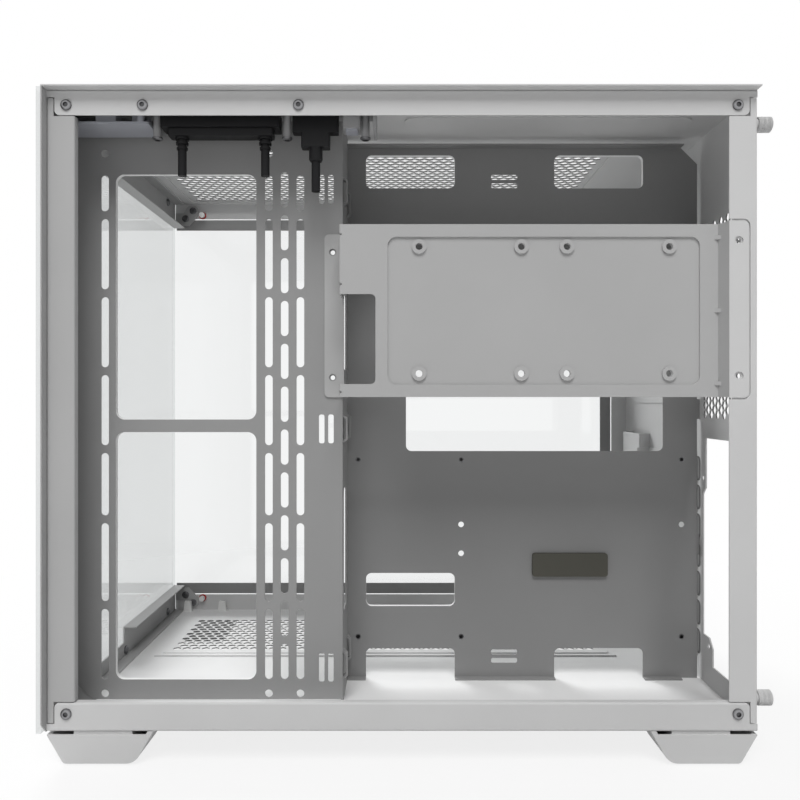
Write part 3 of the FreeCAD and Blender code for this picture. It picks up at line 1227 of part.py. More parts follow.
def make_slot_covers():
    """Seven covers inside the card slots, each with a folded screw tab, and the clamp over the tabs."""
    for number in range(7):
        item = body("slot_cover_%d" % (number + 1))
        middle = "card_low + %d * card_pitch" % number
        low, high = middle + " - cover_width / 2", middle + " + cover_width / 2"
        near = "frame_width - card_near + cover_over"
        far = "frame_width - card_near - card_length - cover_over"
        drawing = sketch(item, "XY_Plane", low)
        outline(drawing, [
            (near, "rear_wall"), (far, "rear_wall", "bend"), (far, "rear_wall - cover_tab"),
            (far + " + sheet", "rear_wall - cover_tab"), (far + " + sheet", "rear_wall - sheet"),
            (near, "rear_wall - sheet")])
        pad(item, drawing, "cover_width", "XY_Plane")
        drawing = sketch(item, "YZ_Plane", far + " - sheet")
        hole(drawing, "rear_wall - cover_tab / 2", middle, "screw_shank + play")
        cut(item, drawing, "3 * sheet", "YZ_Plane")
    item = body("slot_clamp")
    drawing = sketch(item, "XY_Plane", "card_low - cover_width / 2")
    far = "frame_width - card_near - card_length - cover_over"
    outline(drawing, [
        (far, "rear_wall"), (far, "rear_wall - clamp_depth", "bend"),
        (far + " - clamp_width", "rear_wall - clamp_depth", "bend"), (far + " - clamp_width", "rear_wall"),
        (far + " - clamp_width + sheet", "rear_wall"),
        (far + " - clamp_width + sheet", "rear_wall - clamp_depth + sheet"),
        (far + " - sheet", "rear_wall - clamp_depth + sheet"), (far + " - sheet", "rear_wall")])
    pad(item, drawing, "clamp_top - card_low + cover_width / 2", "XY_Plane")
    drawing = sketch(item, "YZ_Plane", far + " - 2 * sheet")
    for number in range(7):
        hole(drawing, "rear_wall - cover_tab / 2", "card_low + %d * card_pitch" % number,
             "screw_shank + play")
    cut(item, drawing, "3 * sheet", "YZ_Plane")


def make_cable_pad():
    """Raised pad on the tray behind the board."""
    item = body("cable_pad")
    drawing = sketch(item, "YZ_Plane", "tray_across")
    window(drawing, ("pad_front", "pad_low"), ("pad_front + pad_length", "pad_low + pad_height"),
           "opening_round / 2")
    pad(item, drawing, "pad_depth", "YZ_Plane")


def make_feet():
    """Four feet with sloping ends, a raised seat and a rubber pad each."""
    pads = []
    ends = (("front", "0", 1), ("rear", "frame_length", -1))
    sides = (("right", "frame_width - foot_width"), ("left", "0"))
    for end, edge, way in ends:
        for side, across in sides:
            item = body("%s_%s_foot" % (end, side), up="-foot_height")

            def along(text):
                return "%s + %d * (%s)" % (edge, way, text)

            top = "foot_height - foot_shadow"
            drawing = sketch(item, "YZ_Plane", across)
            outline(drawing, [
                (along("0"), top), (along("foot_slant_out"), "foot_pad"),
                (along("foot_length - foot_slant_in"), "foot_pad", "foot_round"),
                (along("foot_length"), top)])
            pad(item, drawing, "foot_width", "YZ_Plane")
            drawing = sketch(item, "XY_Plane", top)
            seat = "(foot_length - foot_boss) / 2"
            window(drawing, (across + " + pad_inset", along(seat)),
                   (across + " + foot_width - pad_inset", along(seat + " + foot_boss")))
            pad(item, drawing, "foot_shadow", "XY_Plane")
            pads.append((across, along("foot_length / 2")))
    return pads


def make_foot_pads(spots):
    """Rubber pads, one under each foot."""
    pieces = []
    for number, (across, along) in enumerate(spots, start=1):
        piece = doc.addObject("Part::Box", "foot_pad_%d" % number)
        bind(piece, "Length", "foot_width - 2 * pad_inset")
        bind(piece, "Width", "foot_length - foot_slant_out - foot_slant_in - foot_round")
        bind(piece, "Height", "foot_pad")
        place(piece, across + " + pad_inset",
              along + " - (foot_length - foot_slant_out - foot_slant_in - foot_round) / 2", "-foot_height")
        pieces.append(piece)
    group = doc.addObject("Part::Compound", "foot_pads")
    group.Label = "foot_pads"
    group.Links = pieces
    nodes.append(group)


def screw_profile(length):
    """Corners of a screw: a shank and a bevelled pan head with a socket."""
    return [("0", "-(%s)" % length), ("screw_shank / 2", "-(%s)" % length), ("screw_shank / 2", "0"),
            ("screw_head / 2", "0"), ("screw_head / 2", "screw_rise / 2"),
            ("screw_head / 3", "screw_rise"), ("socket_size / 2", "screw_rise"),
            ("socket_size / 2", "screw_rise - socket_depth"), ("0", "screw_rise - socket_depth")]


def hex_standoff():
    """A six-sided standoff with a round shank below it and a screw bore through it."""
    item = doc.addObject("PartDesign::Body", "standoff_master")
    drawing = sketch(item, "XY_Plane")
    half = "standoff_size / 2"
    reach = "standoff_size * %.6f" % (1 / math.sqrt(3))
    outline(drawing, [(reach, "0"), (reach + " / 2", half), ("-%s / 2" % reach, half), ("-" + reach, "0"),
                      ("-%s / 2" % reach, "-" + half), (reach + " / 2", "-" + half)])
    pad(item, drawing, "standoff_length", "XY_Plane")
    drawing = sketch(item, "XY_Plane", "-sheet")
    hole(drawing, "0", "0", "standoff_shank")
    pad(item, drawing, "sheet", "XY_Plane")
    drawing = sketch(item, "XY_Plane", "-2 * sheet")
    hole(drawing, "0", "0", "standoff_bore")
    cut(item, drawing, "standoff_length + 3 * sheet", "XY_Plane")
    return item


def glass_rest():
    """A plastic clip that stands on the floor beside the side pane, narrower at its top."""
    item = doc.addObject("PartDesign::Body", "rest_master")
    drawing = sketch(item, "YZ_Plane")
    half = "rest_size / 2"
    outline(drawing, [("-rest_size / 2", "0"), (half, "0"), (half + " - rest_slope", "rest_height"),
                      ("-rest_size / 2 + rest_slope", "rest_height")])
    pad(item, drawing, "rest_depth", "YZ_Plane")
    return item


def make_fasteners():
    """Screws, thumbscrews, standoffs, grommets and pegs, each kind one node of equal pieces."""
    screw = turned("screw_master", screw_profile("screw_length"))
    set_of("frame_screws", screw, POINTS_RIGHT,
           [("frame_width", along, up) for along, up in UPPER_SCREWS + LOWER_SCREWS])
    thumb = turned("thumbscrew_master", [
        ("0", "-screw_length"), ("thumb_shank / 2", "-screw_length"), ("thumb_shank / 2", "0"),
        ("thumb_size / 3", "0"), ("thumb_size / 3", "thumb_neck"), ("thumb_size / 2", "thumb_neck"),
        ("thumb_size / 2", "thumb_reach - seam"), ("thumb_size / 2 - seam", "thumb_reach"),
        ("0", "thumb_reach")])
    set_of("panel_thumbscrews", thumb, POINTS_REAR,
           [("frame_width - thumb_depth", "frame_length", up) for up in ("thumb_low", "thumb_high")])
    standoff = hex_standoff()
    set_of("board_standoffs", standoff, POINTS_LEFT,
           [("tray_across - sheet", along, up) for along, up in STANDOFFS])
    grommet = turned("grommet_master", [
        ("grommet_bore / 2", "-sheet - grommet_rim"), ("grommet_size / 2", "-sheet - grommet_rim"),
        ("grommet_size / 2", "-sheet"), ("grommet_neck / 2", "-sheet"), ("grommet_neck / 2", "0"),
        ("grommet_size / 2", "0"), ("grommet_size / 2", "grommet_rim"),
        ("grommet_bore / 2", "grommet_rim")])
    set_of("drive_grommets", grommet, POINTS_RIGHT,
           [("bracket_across - recess", along, up) for along, up in DRIVE_SCREWS])
    peg = turned("peg_master", [
        ("0", "0"), ("peg_size / 3", "0"), ("peg_size / 3", "peg_length / 2"),
        ("peg_size / 2", "peg_length / 2"), ("peg_size / 2", "peg_length"), ("0", "peg_length")])
    set_of("glass_pegs", peg, POINTS_RIGHT,
           [("sheet", along, up) for along in ("peg_front", "peg_rear")
            for up in ("peg_up", "frame_height - peg_up")])
    short_screw = turned("short_screw_master", screw_profile("gusset_sheet"))
    set_of("corner_screws", short_screw, POINTS_RIGHT,
           [("sheet + gusset_sheet", along, up % step) for along, step in GUSSET_SCREWS
            for up in ("under_top - (%s)", "sheet + (%s)")])
    tab = "frame_width - card_near - card_length - cover_over + sheet"
    set_of("slot_screws", screw, POINTS_RIGHT,
           [(tab, "rear_wall - cover_tab / 2", "card_low + %d * card_pitch" % number)
            for number in range(7)])
    set_of("holder_screws", screw, POINTS_DOWN,
           [("holder_middle", along, "holder_low - post_drop")
            for along in ("boss_front", "boss_mid", "boss_rear")])
    ring = turned("ring_master", [
        ("peg_size / 3 + play / 2", "0"), ("ring_size / 2", "0"), ("ring_size / 2", "ring_width"),
        ("peg_size / 3 + play / 2", "ring_width")])
    set_of("peg_rings", ring, POINTS_RIGHT,
           [("sheet", along, up) for along in ("peg_front", "peg_rear")
            for up in ("peg_up", "frame_height - peg_up")])
    set_of("glass_rests", glass_rest(), FreeCAD.Rotation(),
           [("rest_across", along, "sheet") for along in ("rest_front", "rest_second")])
    rivet = turned("rivet_master", [
        ("0", "0"), ("screw_head / 2", "0"), ("screw_head / 2", "screw_rise / 2"),
        ("screw_head / 3", "screw_rise"), ("0", "screw_rise")])
    set_of("rail_rivets", rivet, POINTS_REAR,
           [(across, "sheet - skin", up) for across in ("rivet_first", "rivet_second")
            for up in ("rivet_up", "frame_height - rivet_up")])


def make_port_holder():
    """Moulded plate under the top frame that carries the switch board and the port blocks."""
    item = body("port_holder")
    drawing = sketch(item, "XY_Plane", "holder_low")
    near = "frame_width - holder_near"
    window(drawing, (near + " - holder_width", "holder_front"), (near, "holder_rear"))
    pad(item, drawing, "holder_plate", "XY_Plane")
    drawing = sketch(item, "XY_Plane", "holder_low + holder_plate")
    for along in ("boss_front", "boss_mid", "boss_rear"):
        hole(drawing, "holder_middle", along, "boss_size")
    pad(item, drawing, "holder_drop - holder_plate", "XY_Plane")
    drawing = sketch(item, "XY_Plane", "holder_low - sheet")
    for along in ("power_along", "reset_along"):
        hole(drawing, "holder_middle", along, "button_stem + 2 * button_play")
    for along in ("usb_front + usb_lead", "usb_front + usb_lead + usb_lead_gap"):
        window(drawing, ("holder_middle - port_short / 2 - play", along + " - port_long / 2 - play"),
               ("holder_middle + port_short / 2 + play", along + " + port_long / 2 + play"))
    window(drawing, ("holder_middle - reversible_short / 2 - play",
                     "reversible_front + reversible_length / 2 - reversible_long / 2 - play"),
           ("holder_middle + reversible_short / 2 + play",
            "reversible_front + reversible_length / 2 + reversible_long / 2 + play"))
    hole(drawing, "holder_middle", "audio_front + audio_length / 2", "audio_size + 2 * play")
    cut(item, drawing, "holder_plate + 2 * sheet", "XY_Plane")
    drawing = sketch(item, "XY_Plane", "holder_low - sheet")
    for along in ("boss_front", "boss_mid", "boss_rear"):
        hole(drawing, "holder_middle", along, "screw_shank + play")
    cut(item, drawing, "holder_plate + 2 * sheet", "XY_Plane")
    drawing = sketch(item, "XY_Plane", "holder_low - post_drop")
    for along in ("boss_front", "boss_mid", "boss_rear"):
        hole(drawing, "holder_middle", along, "post_size")
        hole(drawing, "holder_middle", along, "screw_shank + play")
    pad(item, drawing, "post_drop", "XY_Plane")
    drawing = sketch(item, "XY_Plane", "holder_low - holder_end_drop")
    window(drawing, (near + " - holder_width", "holder_rear - holder_end"), (near, "holder_rear"))
    pad(item, drawing, "holder_end_drop", "XY_Plane")


def make_switch_board():
    """Board under the buttons, hung from the port holder by posts, with a switch under each button."""
    item = body("switch_board")
    top = "holder_low - switch_drop"
    near = "frame_width - switch_near"
    drawing = sketch(item, "XY_Plane", top + " - switch_plate")
    window(drawing, (near + " - switch_width", "switch_front"), (near, "switch_front + switch_length"),
           "board_round")
    pad(item, drawing, "switch_plate", "XY_Plane")
    drawing = sketch(item, "XY_Plane", top)
    for along in ("switch_front + switch_inset", "switch_front + switch_length - switch_inset"):
        for across in ("holder_middle - block_depth / 2", "holder_middle + block_depth / 2"):
            hole(drawing, across, along, "switch_post")
    for along, size in (("power_along", "power_size"), ("reset_along", "reset_size")):
        window(drawing, ("holder_middle - %s / 2" % size, "%s - %s / 2" % (along, size)),
               ("holder_middle + %s / 2" % size, "%s + %s / 2" % (along, size)))
    pad(item, drawing, "switch_drop", "XY_Plane")


def make_port_blocks():
    """USB block, USB-C block and audio block under the port holder."""
    blocks = [("usb_block", "usb_front", "usb_length", "usb_height", "block_depth / 2"),
              ("reversible_usb_block", "reversible_front", "reversible_length", "reversible_height",
               "reversible_depth / 2"),
              ("audio_block", "audio_front", "audio_length", "audio_height", "block_depth / 2")]
    made = {}
    for name, front, length, height, half in blocks:
        item = body(name)
        drawing = sketch(item, "XY_Plane", "holder_low - " + height)
        window(drawing, ("holder_middle - " + half, front),
               ("holder_middle + " + half, "%s + %s" % (front, length)), "bend")
        pad(item, drawing, height, "XY_Plane")
        made[name] = item
    rise = "frame_height + skin - holder_low"
    item = made["usb_block"]
    drawing = sketch(item, "XY_Plane", "holder_low - usb_height - usb_foot")
    window(drawing, ("holder_middle - usb_foot_depth / 2", "usb_front + usb_foot_inset"),
           ("holder_middle + usb_foot_depth / 2", "usb_front + usb_length - usb_foot_inset"), "bend")
    pad(item, drawing, "usb_foot", "XY_Plane")
    drawing = sketch(item, "XY_Plane", "holder_low")
    for along in ("usb_front + usb_lead", "usb_front + usb_lead + usb_lead_gap"):
        window(drawing, ("holder_middle - port_short / 2", along + " - port_long / 2"),
               ("holder_middle + port_short / 2", along + " + port_long / 2"))
        window(drawing, ("holder_middle - port_short / 2 + seam", along + " - port_long / 2 + seam"),
               ("holder_middle + port_short / 2 - seam", along + " + port_long / 2 - seam"))
    pad(item, drawing, rise, "XY_Plane")
    item = made["reversible_usb_block"]
    middle = "reversible_front + reversible_length / 2"
    drawing = sketch(item, "XY_Plane", "holder_low")
    slot(drawing, "holder_middle", middle + " - reversible_long / 2", middle + " + reversible_long / 2",
         "reversible_short")
    slot(drawing, "holder_middle", middle + " - reversible_long / 2 + seam",
         middle + " + reversible_long / 2 - seam", "reversible_short - 2 * seam")
    pad(item, drawing, rise, "XY_Plane")
    drawing = sketch(item, "XY_Plane", "holder_low - reversible_height - reversible_neck_drop")
    window(drawing, ("holder_middle - reversible_depth / 2", middle + " - reversible_neck / 2"),
           ("holder_middle + reversible_depth / 2", middle + " + reversible_neck / 2"), "bend")
    pad(item, drawing, "reversible_neck_drop", "XY_Plane")
    item = made["audio_block"]
    drawing = sketch(item, "XY_Plane", "holder_low")
    hole(drawing, "holder_middle", "audio_front + audio_length / 2", "audio_size")
    hole(drawing, "holder_middle", "audio_front + audio_length / 2", "audio_bore")
    pad(item, drawing, rise, "XY_Plane")
    item = body("audio_board")
    drawing = sketch(item, "XY_Plane", "holder_low - audio_height - audio_plate")
    window(drawing, ("holder_middle - audio_plate_depth / 2", "audio_front + audio_plate_inset"),
           ("holder_middle + audio_plate_depth / 2", "audio_front + audio_length - audio_plate_inset"),
           "bend")
    pad(item, drawing, "audio_plate", "XY_Plane")


def ribbed_relief():
    """Corners of a tapering strain relief with three ribs, from its seat downwards."""
    corners = [("0", "0"), ("relief_size / 2", "0")]
    ribs = 3
    for rib in range(ribs):
        low = "usb_relief * %d / %d" % (2 * rib + 1, 2 * ribs)
        high = "usb_relief * %d / %d" % (2 * rib + 2, 2 * ribs)
        outer = "relief_size / 2 - relief_groove * %d / %d" % (rib, ribs)
        corners += [(outer, low), (outer + " - relief_groove", low), (outer + " - relief_groove", high)]
        if rib < ribs - 1:
            corners += [("relief_size / 2 - relief_groove * %d / %d" % (rib + 1, ribs), high)]
    return corners[:-1]


def make_leads():
    """Three leads cut off short under their strain reliefs."""
    end = "usb_lead_length"
    master = turned("usb_lead_master", ribbed_relief() + [
        ("lead_size / 2", "usb_relief * 5 / 6"), ("lead_size / 2", end), ("0", end)])
    set_of("usb_leads", master, POINTS_DOWN,
           [("holder_middle", along, "holder_low - usb_height - usb_foot")
            for along in ("usb_front + usb_lead", "usb_front + usb_lead + usb_lead_gap")])
    end = "reversible_lead_length"
    master = turned("reversible_lead_master", [
        ("0", "0"), ("thick_relief / 2", "0"), ("thick_relief / 2", "thick_relief_length - bend"),
        ("thick_relief / 2 - bend / 2", "thick_relief_length"), ("thick_lead / 2", "thick_relief_length"),
        ("thick_lead / 2", end), ("0", end)])
    set_of("reversible_usb_lead", master, POINTS_DOWN,
           [("holder_middle", "reversible_front + reversible_length / 2",
             "holder_low - reversible_height - reversible_neck_drop")])


def make_buttons():
    """Power and reset buttons: a cap in the top panel, a collar under it and a stem to the switch."""
    collar = "under_top - button_play - 2 * sheet"
    for name, along, size in (("power_button", "power_along", "power_size"),
                              ("reset_button", "reset_along", "reset_size")):
        item = turned(name, [
            ("0", "holder_low + button_travel + button_play"),
            ("button_stem / 2", "holder_low + button_travel + button_play"), ("button_stem / 2", collar),
            (size + " / 2 + sheet", collar), (size + " / 2 + sheet", collar + " + 2 * sheet"),
            (size + " / 2", collar + " + 2 * sheet"),
            (size + " / 2", "frame_height + skin + button_rise - sheet / 2"),
            (size + " / 2 - sheet / 2", "frame_height + skin + button_rise"),
            ("0", "frame_height + skin + button_rise")], node=True)
        place(item, "holder_middle", along)


def check_and_export():
    """Stops on any failed object or bad shape, then writes one STEP file per node."""
    doc.recompute()
    for item in doc.Objects:
        if "Invalid" in item.State or "Error" in item.State:
            raise RuntimeError("%s failed: %s" % (item.Name, item.State))
    os.makedirs("parts", exist_ok=True)
    for item in nodes:
        shape = item.Shape
        if shape.isNull() or not shape.isValid() or not shape.Solids:
            raise RuntimeError("%s has a bad shape" % item.Label)
    for item in nodes:
        item.Shape.exportStep(os.path.join("parts", item.Label + ".step"))
    print("%d nodes written" % len(nodes))


make_floor_pan()
make_top_frame()
make_mesh_plates()
make_front_column()
make_front_skin()
make_rear_panel()
make_rear_vents()
make_tray()
make_fan_plate()
make_drive_bracket()
make_glass()
make_glass_frame()
make_front_rails()
make_corner_brackets()
make_slot_covers()
make_cable_pad()
make_foot_pads(make_feet())
make_fasteners()
make_port_holder()
make_switch_board()
make_port_blocks()
make_leads()
make_buttons()
check_and_export()
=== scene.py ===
# %% [markdown]
# # A two-chamber computer case, seen on its open right side
#
# The case is folded sheet steel in a pale powder coat, with a glass front and a glass left
# side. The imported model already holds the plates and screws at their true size, so this lesson
# does what a construction model leaves out: the fine honeycomb of the vents, the knurl of the
# thumbscrews, the moulding of the feet, a few small plates, the finishes, the light and the camera.

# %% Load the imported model
import bmesh
import bpy
import numpy as np
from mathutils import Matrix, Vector
from mathutils.geometry import delaunay_2d_cdt


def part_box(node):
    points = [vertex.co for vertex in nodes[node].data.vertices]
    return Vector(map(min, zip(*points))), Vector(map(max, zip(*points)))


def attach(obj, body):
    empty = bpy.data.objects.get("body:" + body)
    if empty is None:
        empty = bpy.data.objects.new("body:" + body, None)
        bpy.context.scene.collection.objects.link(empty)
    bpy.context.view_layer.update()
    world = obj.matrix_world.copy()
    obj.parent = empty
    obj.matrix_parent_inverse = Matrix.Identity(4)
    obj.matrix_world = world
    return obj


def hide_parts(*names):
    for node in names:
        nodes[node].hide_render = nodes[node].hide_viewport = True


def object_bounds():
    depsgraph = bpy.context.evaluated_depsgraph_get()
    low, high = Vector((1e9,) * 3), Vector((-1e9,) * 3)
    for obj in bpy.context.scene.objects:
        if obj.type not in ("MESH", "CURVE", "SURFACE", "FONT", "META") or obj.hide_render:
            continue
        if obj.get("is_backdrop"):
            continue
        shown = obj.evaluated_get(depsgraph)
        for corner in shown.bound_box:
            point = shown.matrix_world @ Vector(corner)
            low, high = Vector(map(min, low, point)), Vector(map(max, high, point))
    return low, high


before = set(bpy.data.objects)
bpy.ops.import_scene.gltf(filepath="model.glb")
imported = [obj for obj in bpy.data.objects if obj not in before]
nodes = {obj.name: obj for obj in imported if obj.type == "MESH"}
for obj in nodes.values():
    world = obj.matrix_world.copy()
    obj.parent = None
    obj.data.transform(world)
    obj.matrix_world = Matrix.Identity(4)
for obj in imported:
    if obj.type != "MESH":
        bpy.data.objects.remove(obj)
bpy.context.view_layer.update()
MM = 0.001

# %% [markdown]
# ## The corner that everything is measured from
#
# The model's own boxes give the left side, the right side, the front, the rear and the floor of
# the steel frame. Reading them, rather than writing numbers again, keeps this file in step with
# the part.

# %% Read the frame's planes
frame_low, frame_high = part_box("top_frame")
LEFT, RIGHT = frame_low.x, frame_high.x
FRONT, REAR = frame_low.y, frame_high.y
TOP = frame_high.z
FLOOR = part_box("floor_pan")[0].z
print("frame in mm:", [round(v / MM, 1) for v in (RIGHT - LEFT, REAR - FRONT, TOP - FLOOR)])

# %% [markdown]
# ## Camera
#
# The picture is taken square on to the open side. All depth lines meet in the middle of the
# picture, so the camera looks straight along the case's width, with no shift. The lens follows
# from how much smaller the far glass is than the near frame: the camera stands about 0.47 m
# from the near frame, with a field of view of 53 degrees.

# %% Place the camera
CAMERA_GAP = 473.6 * MM
CAMERA_ALONG = 209.3 * MM
CAMERA_HEIGHT = 216.3 * MM
SENSOR, FOCAL_LENGTH = 36, 36
lens = bpy.data.cameras.new("camera")
lens.sensor_width = SENSOR
lens.lens = FOCAL_LENGTH
camera = bpy.data.objects.new("camera", lens)
camera.location = (RIGHT + CAMERA_GAP, FRONT + CAMERA_ALONG, CAMERA_HEIGHT)
camera.rotation_mode = "QUATERNION"
camera.rotation_quaternion = Vector((-1, 0, 0)).to_track_quat("-Z", "Y")
bpy.context.scene.collection.objects.link(camera)
bpy.context.scene.camera = camera
bpy.context.scene.view_settings.view_transform = "Standard"
print("camera at", [round(v, 3) for v in camera.location])

# %% [markdown]
# ## Small helpers for shader nodes
#
# A material is a graph. These helpers add a node, set its sockets and join two sockets, so that
# each finish below reads as a short list of what it is made of.

# %% Shader helpers


def add_node(tree, kind, **sockets):
    """Adds a shader node and sets its input sockets by name, spaces written as underscores."""
    made = tree.nodes.new(kind)
    for name, value in sockets.items():
        made.inputs[name.replace("_", " ")].default_value = value
    return made


def join(tree, source, output, target, socket):
    """Runs a link from an output of one node to an input of another."""
    tree.links.new(source.outputs[output], target.inputs[socket])


def new_group(name, inputs, outputs):
    """An empty shader group: inputs are (name, type, value), outputs are (name, type)."""
    group = bpy.data.node_groups.new(name, "ShaderNodeTree")
    for label, kind, value in inputs:
        socket = group.interface.new_socket(label, in_out="INPUT", socket_type="NodeSocket" + kind)
        socket.default_value = value
    for label, kind in outputs:
        group.interface.new_socket(label, in_out="OUTPUT", socket_type="NodeSocket" + kind)
    return group, group.nodes.new("NodeGroupInput"), group.nodes.new("NodeGroupOutput")


print("shader helpers ready")

# %% [markdown]
# ## One grain for every coated and moulded surface
#
# Powder coat dries into a fine orange peel, and moulded plastic has a spark-eroded grain. Both
# are small even bumps with a slow drift in tone, so one group makes them: a fine noise for the
# height and the gloss, a slow noise for the colour. Each material places it with its own values.

# %% Build the grain group
grain_group, grain_in, grain_out = new_group(
    "coat_grain",
    [("Colour", "Color", (0.8, 0.8, 0.8, 1)), ("Drift", "Float", 0.05),
     ("Grain Size", "Float", 900.0), ("Gloss", "Float", 0.45), ("Gloss Spread", "Float", 0.08)],
    [("Colour", "Color"), ("Roughness", "Float"), ("Height", "Float")])
place = grain_group.nodes.new("ShaderNodeTexCoord")
slow = add_node(grain_group, "ShaderNodeTexNoise", Scale=14.0, Detail=3.0)
fine = add_node(grain_group, "ShaderNodeTexNoise", Detail=2.0)
for noise in (slow, fine):
    join(grain_group, place, "Object", noise, "Vector")
join(grain_group, grain_in, "Grain Size", fine, "Scale")
darker = add_node(grain_group, "ShaderNodeMapRange", From_Min=0.3, From_Max=0.7, To_Max=1.0)
join(grain_group, slow, "Fac", darker, "Value")
lowest = grain_group.nodes.new("ShaderNodeMath")
lowest.operation = "SUBTRACT"
lowest.inputs[0].default_value = 1.0
join(grain_group, grain_in, "Drift", lowest, 1)
join(grain_group, lowest, "Value", darker, "To Min")
tone = grain_group.nodes.new("ShaderNodeVectorMath")
tone.operation = "SCALE"
join(grain_group, grain_in, "Colour", tone, "Vector")
join(grain_group, darker, "Result", tone, "Scale")
join(grain_group, tone, "Vector", grain_out, "Colour")
spread = grain_group.nodes.new("ShaderNodeMath")
spread.operation = "MULTIPLY_ADD"
join(grain_group, fine, "Fac", spread, 0)
join(grain_group, grain_in, "Gloss Spread", spread, 1)
join(grain_group, grain_in, "Gloss", spread, 2)
join(grain_group, spread, "Value", grain_out, "Roughness")
join(grain_group, fine, "Fac", grain_out, "Height")
print("group:", grain_group.name)

# %% [markdown]
# ## Coats and plastics
#
# The frame, the plates and the rails wear one powder coat. It is made in greys of several depths that
# are painted light and shade: the floor is the palest, as painted light, the frame comes next, and
# the plates deep inside are the darkest, as painted shade. The plastics and rubbers differ only in
# colour, gloss and grain, so all of them come from one function.

# %% Make the coated finishes
GRAIN_DEPTH = 0.2 * MM
COAT = {"gloss": 0.5, "specular": 0.3}
BLACK = {"bump": 0.1, "specular": 0.25}


def grey(value):
    """A colour with three equal parts."""
    return (value, value, value)


def grained(name, colour, gloss, drift=0.05, size=900.0, bump=0.06, specular=0.5):
    """A Principled surface whose colour, roughness and bump come from the grain group."""
    material = bpy.data.materials.new(name)
    material.use_nodes = True
    tree = material.node_tree
    surface = tree.nodes["Principled BSDF"]
    surface.inputs["Specular IOR Level"].default_value = specular
    grain = tree.nodes.new("ShaderNodeGroup")
    grain.node_tree = grain_group
    grain.inputs["Colour"].default_value = (*colour, 1)
    grain.inputs["Drift"].default_value = drift
    grain.inputs["Grain Size"].default_value = size
    grain.inputs["Gloss"].default_value = gloss
    relief = add_node(tree, "ShaderNodeBump", Strength=bump, Distance=GRAIN_DEPTH)
    join(tree, grain, "Colour", surface, "Base Color")
    join(tree, grain, "Roughness", surface, "Roughness")
    join(tree, grain, "Height", relief, "Height")
    join(tree, relief, "Normal", surface, "Normal")
    return material


frame_coat = grained("frame_coat", grey(0.62), **COAT)
# The inner, plate and bracket coats are the frame's paint in darker greys: painted shade for parts
# that lie deep or recessed.
inner_painted_shade_coat = grained("inner_painted_shade_coat", grey(0.27), **COAT)
# The palest coat is the same paint made paler: painted light on upward faces and a painted highlight
# on rims.
pale_painted_light_coat = grained("pale_painted_light_coat", grey(0.80), **COAT)
plate_painted_shade_coat = grained("plate_painted_shade_coat", grey(0.31), **COAT)
bracket_painted_shade_coat = grained("bracket_painted_shade_coat", grey(0.44), **COAT)
foot_plastic = grained("foot_plastic", grey(0.62), 0.55, size=1400.0, specular=0.3)
knurl_coat = grained("knurl_coat", grey(0.58), 0.4, size=1800.0, bump=0.03)
white_plastic = grained("white_plastic", (0.80, 0.80, 0.79), 0.4, size=1400.0)
grommet_rubber = grained("grommet_rubber", grey(0.44), 0.5, size=1600.0)
black_plastic = grained("black_plastic", (0.010, 0.010, 0.011), 0.5, size=1600.0, **BLACK)
grey_plastic = grained("grey_plastic", (0.34, 0.34, 0.345), 0.45, size=1400.0)
board_laminate = grained("board_laminate", (0.38, 0.39, 0.43), 0.35, 0.1, size=2200.0, bump=0.03)
ring_rubber = grained("ring_rubber", (0.42, 0.03, 0.025), 0.5, size=1800.0)
lead_rubber = grained("lead_rubber", (0.008, 0.008, 0.009), 0.55, size=1800.0, **BLACK)
# A dark grey for hole walls, slot gaps and bores: painted shade.
painted_shade = grained("painted_shade", grey(0.10), 0.5, size=2400.0)
pad_rubber = grained("pad_rubber", (0.070, 0.068, 0.055), 0.6, 0.12, size=1200.0, bump=0.15)
print("coats:", [m.name for m in bpy.data.materials])

# %% [markdown]
# ## Bright steel
#
# Screws and standoffs are plated and turned. A fine noise breaks the reflection into turning marks,
# which is how a small lathe-cut part reads as metal. The sockets of the frame screws wear painted
# shade: their colour falls off with the distance under the face of the heads.

# %% Make the plated steel
# Painted shade in the sockets: the colour darkens between these two depths under the heads' face.
SOCKET_TOP, SOCKET_BOTTOM, SOCKET_PAINTED_SHADE = 0.2 * MM, 0.9 * MM, 0.3
BLUE_TINGE = 1.03


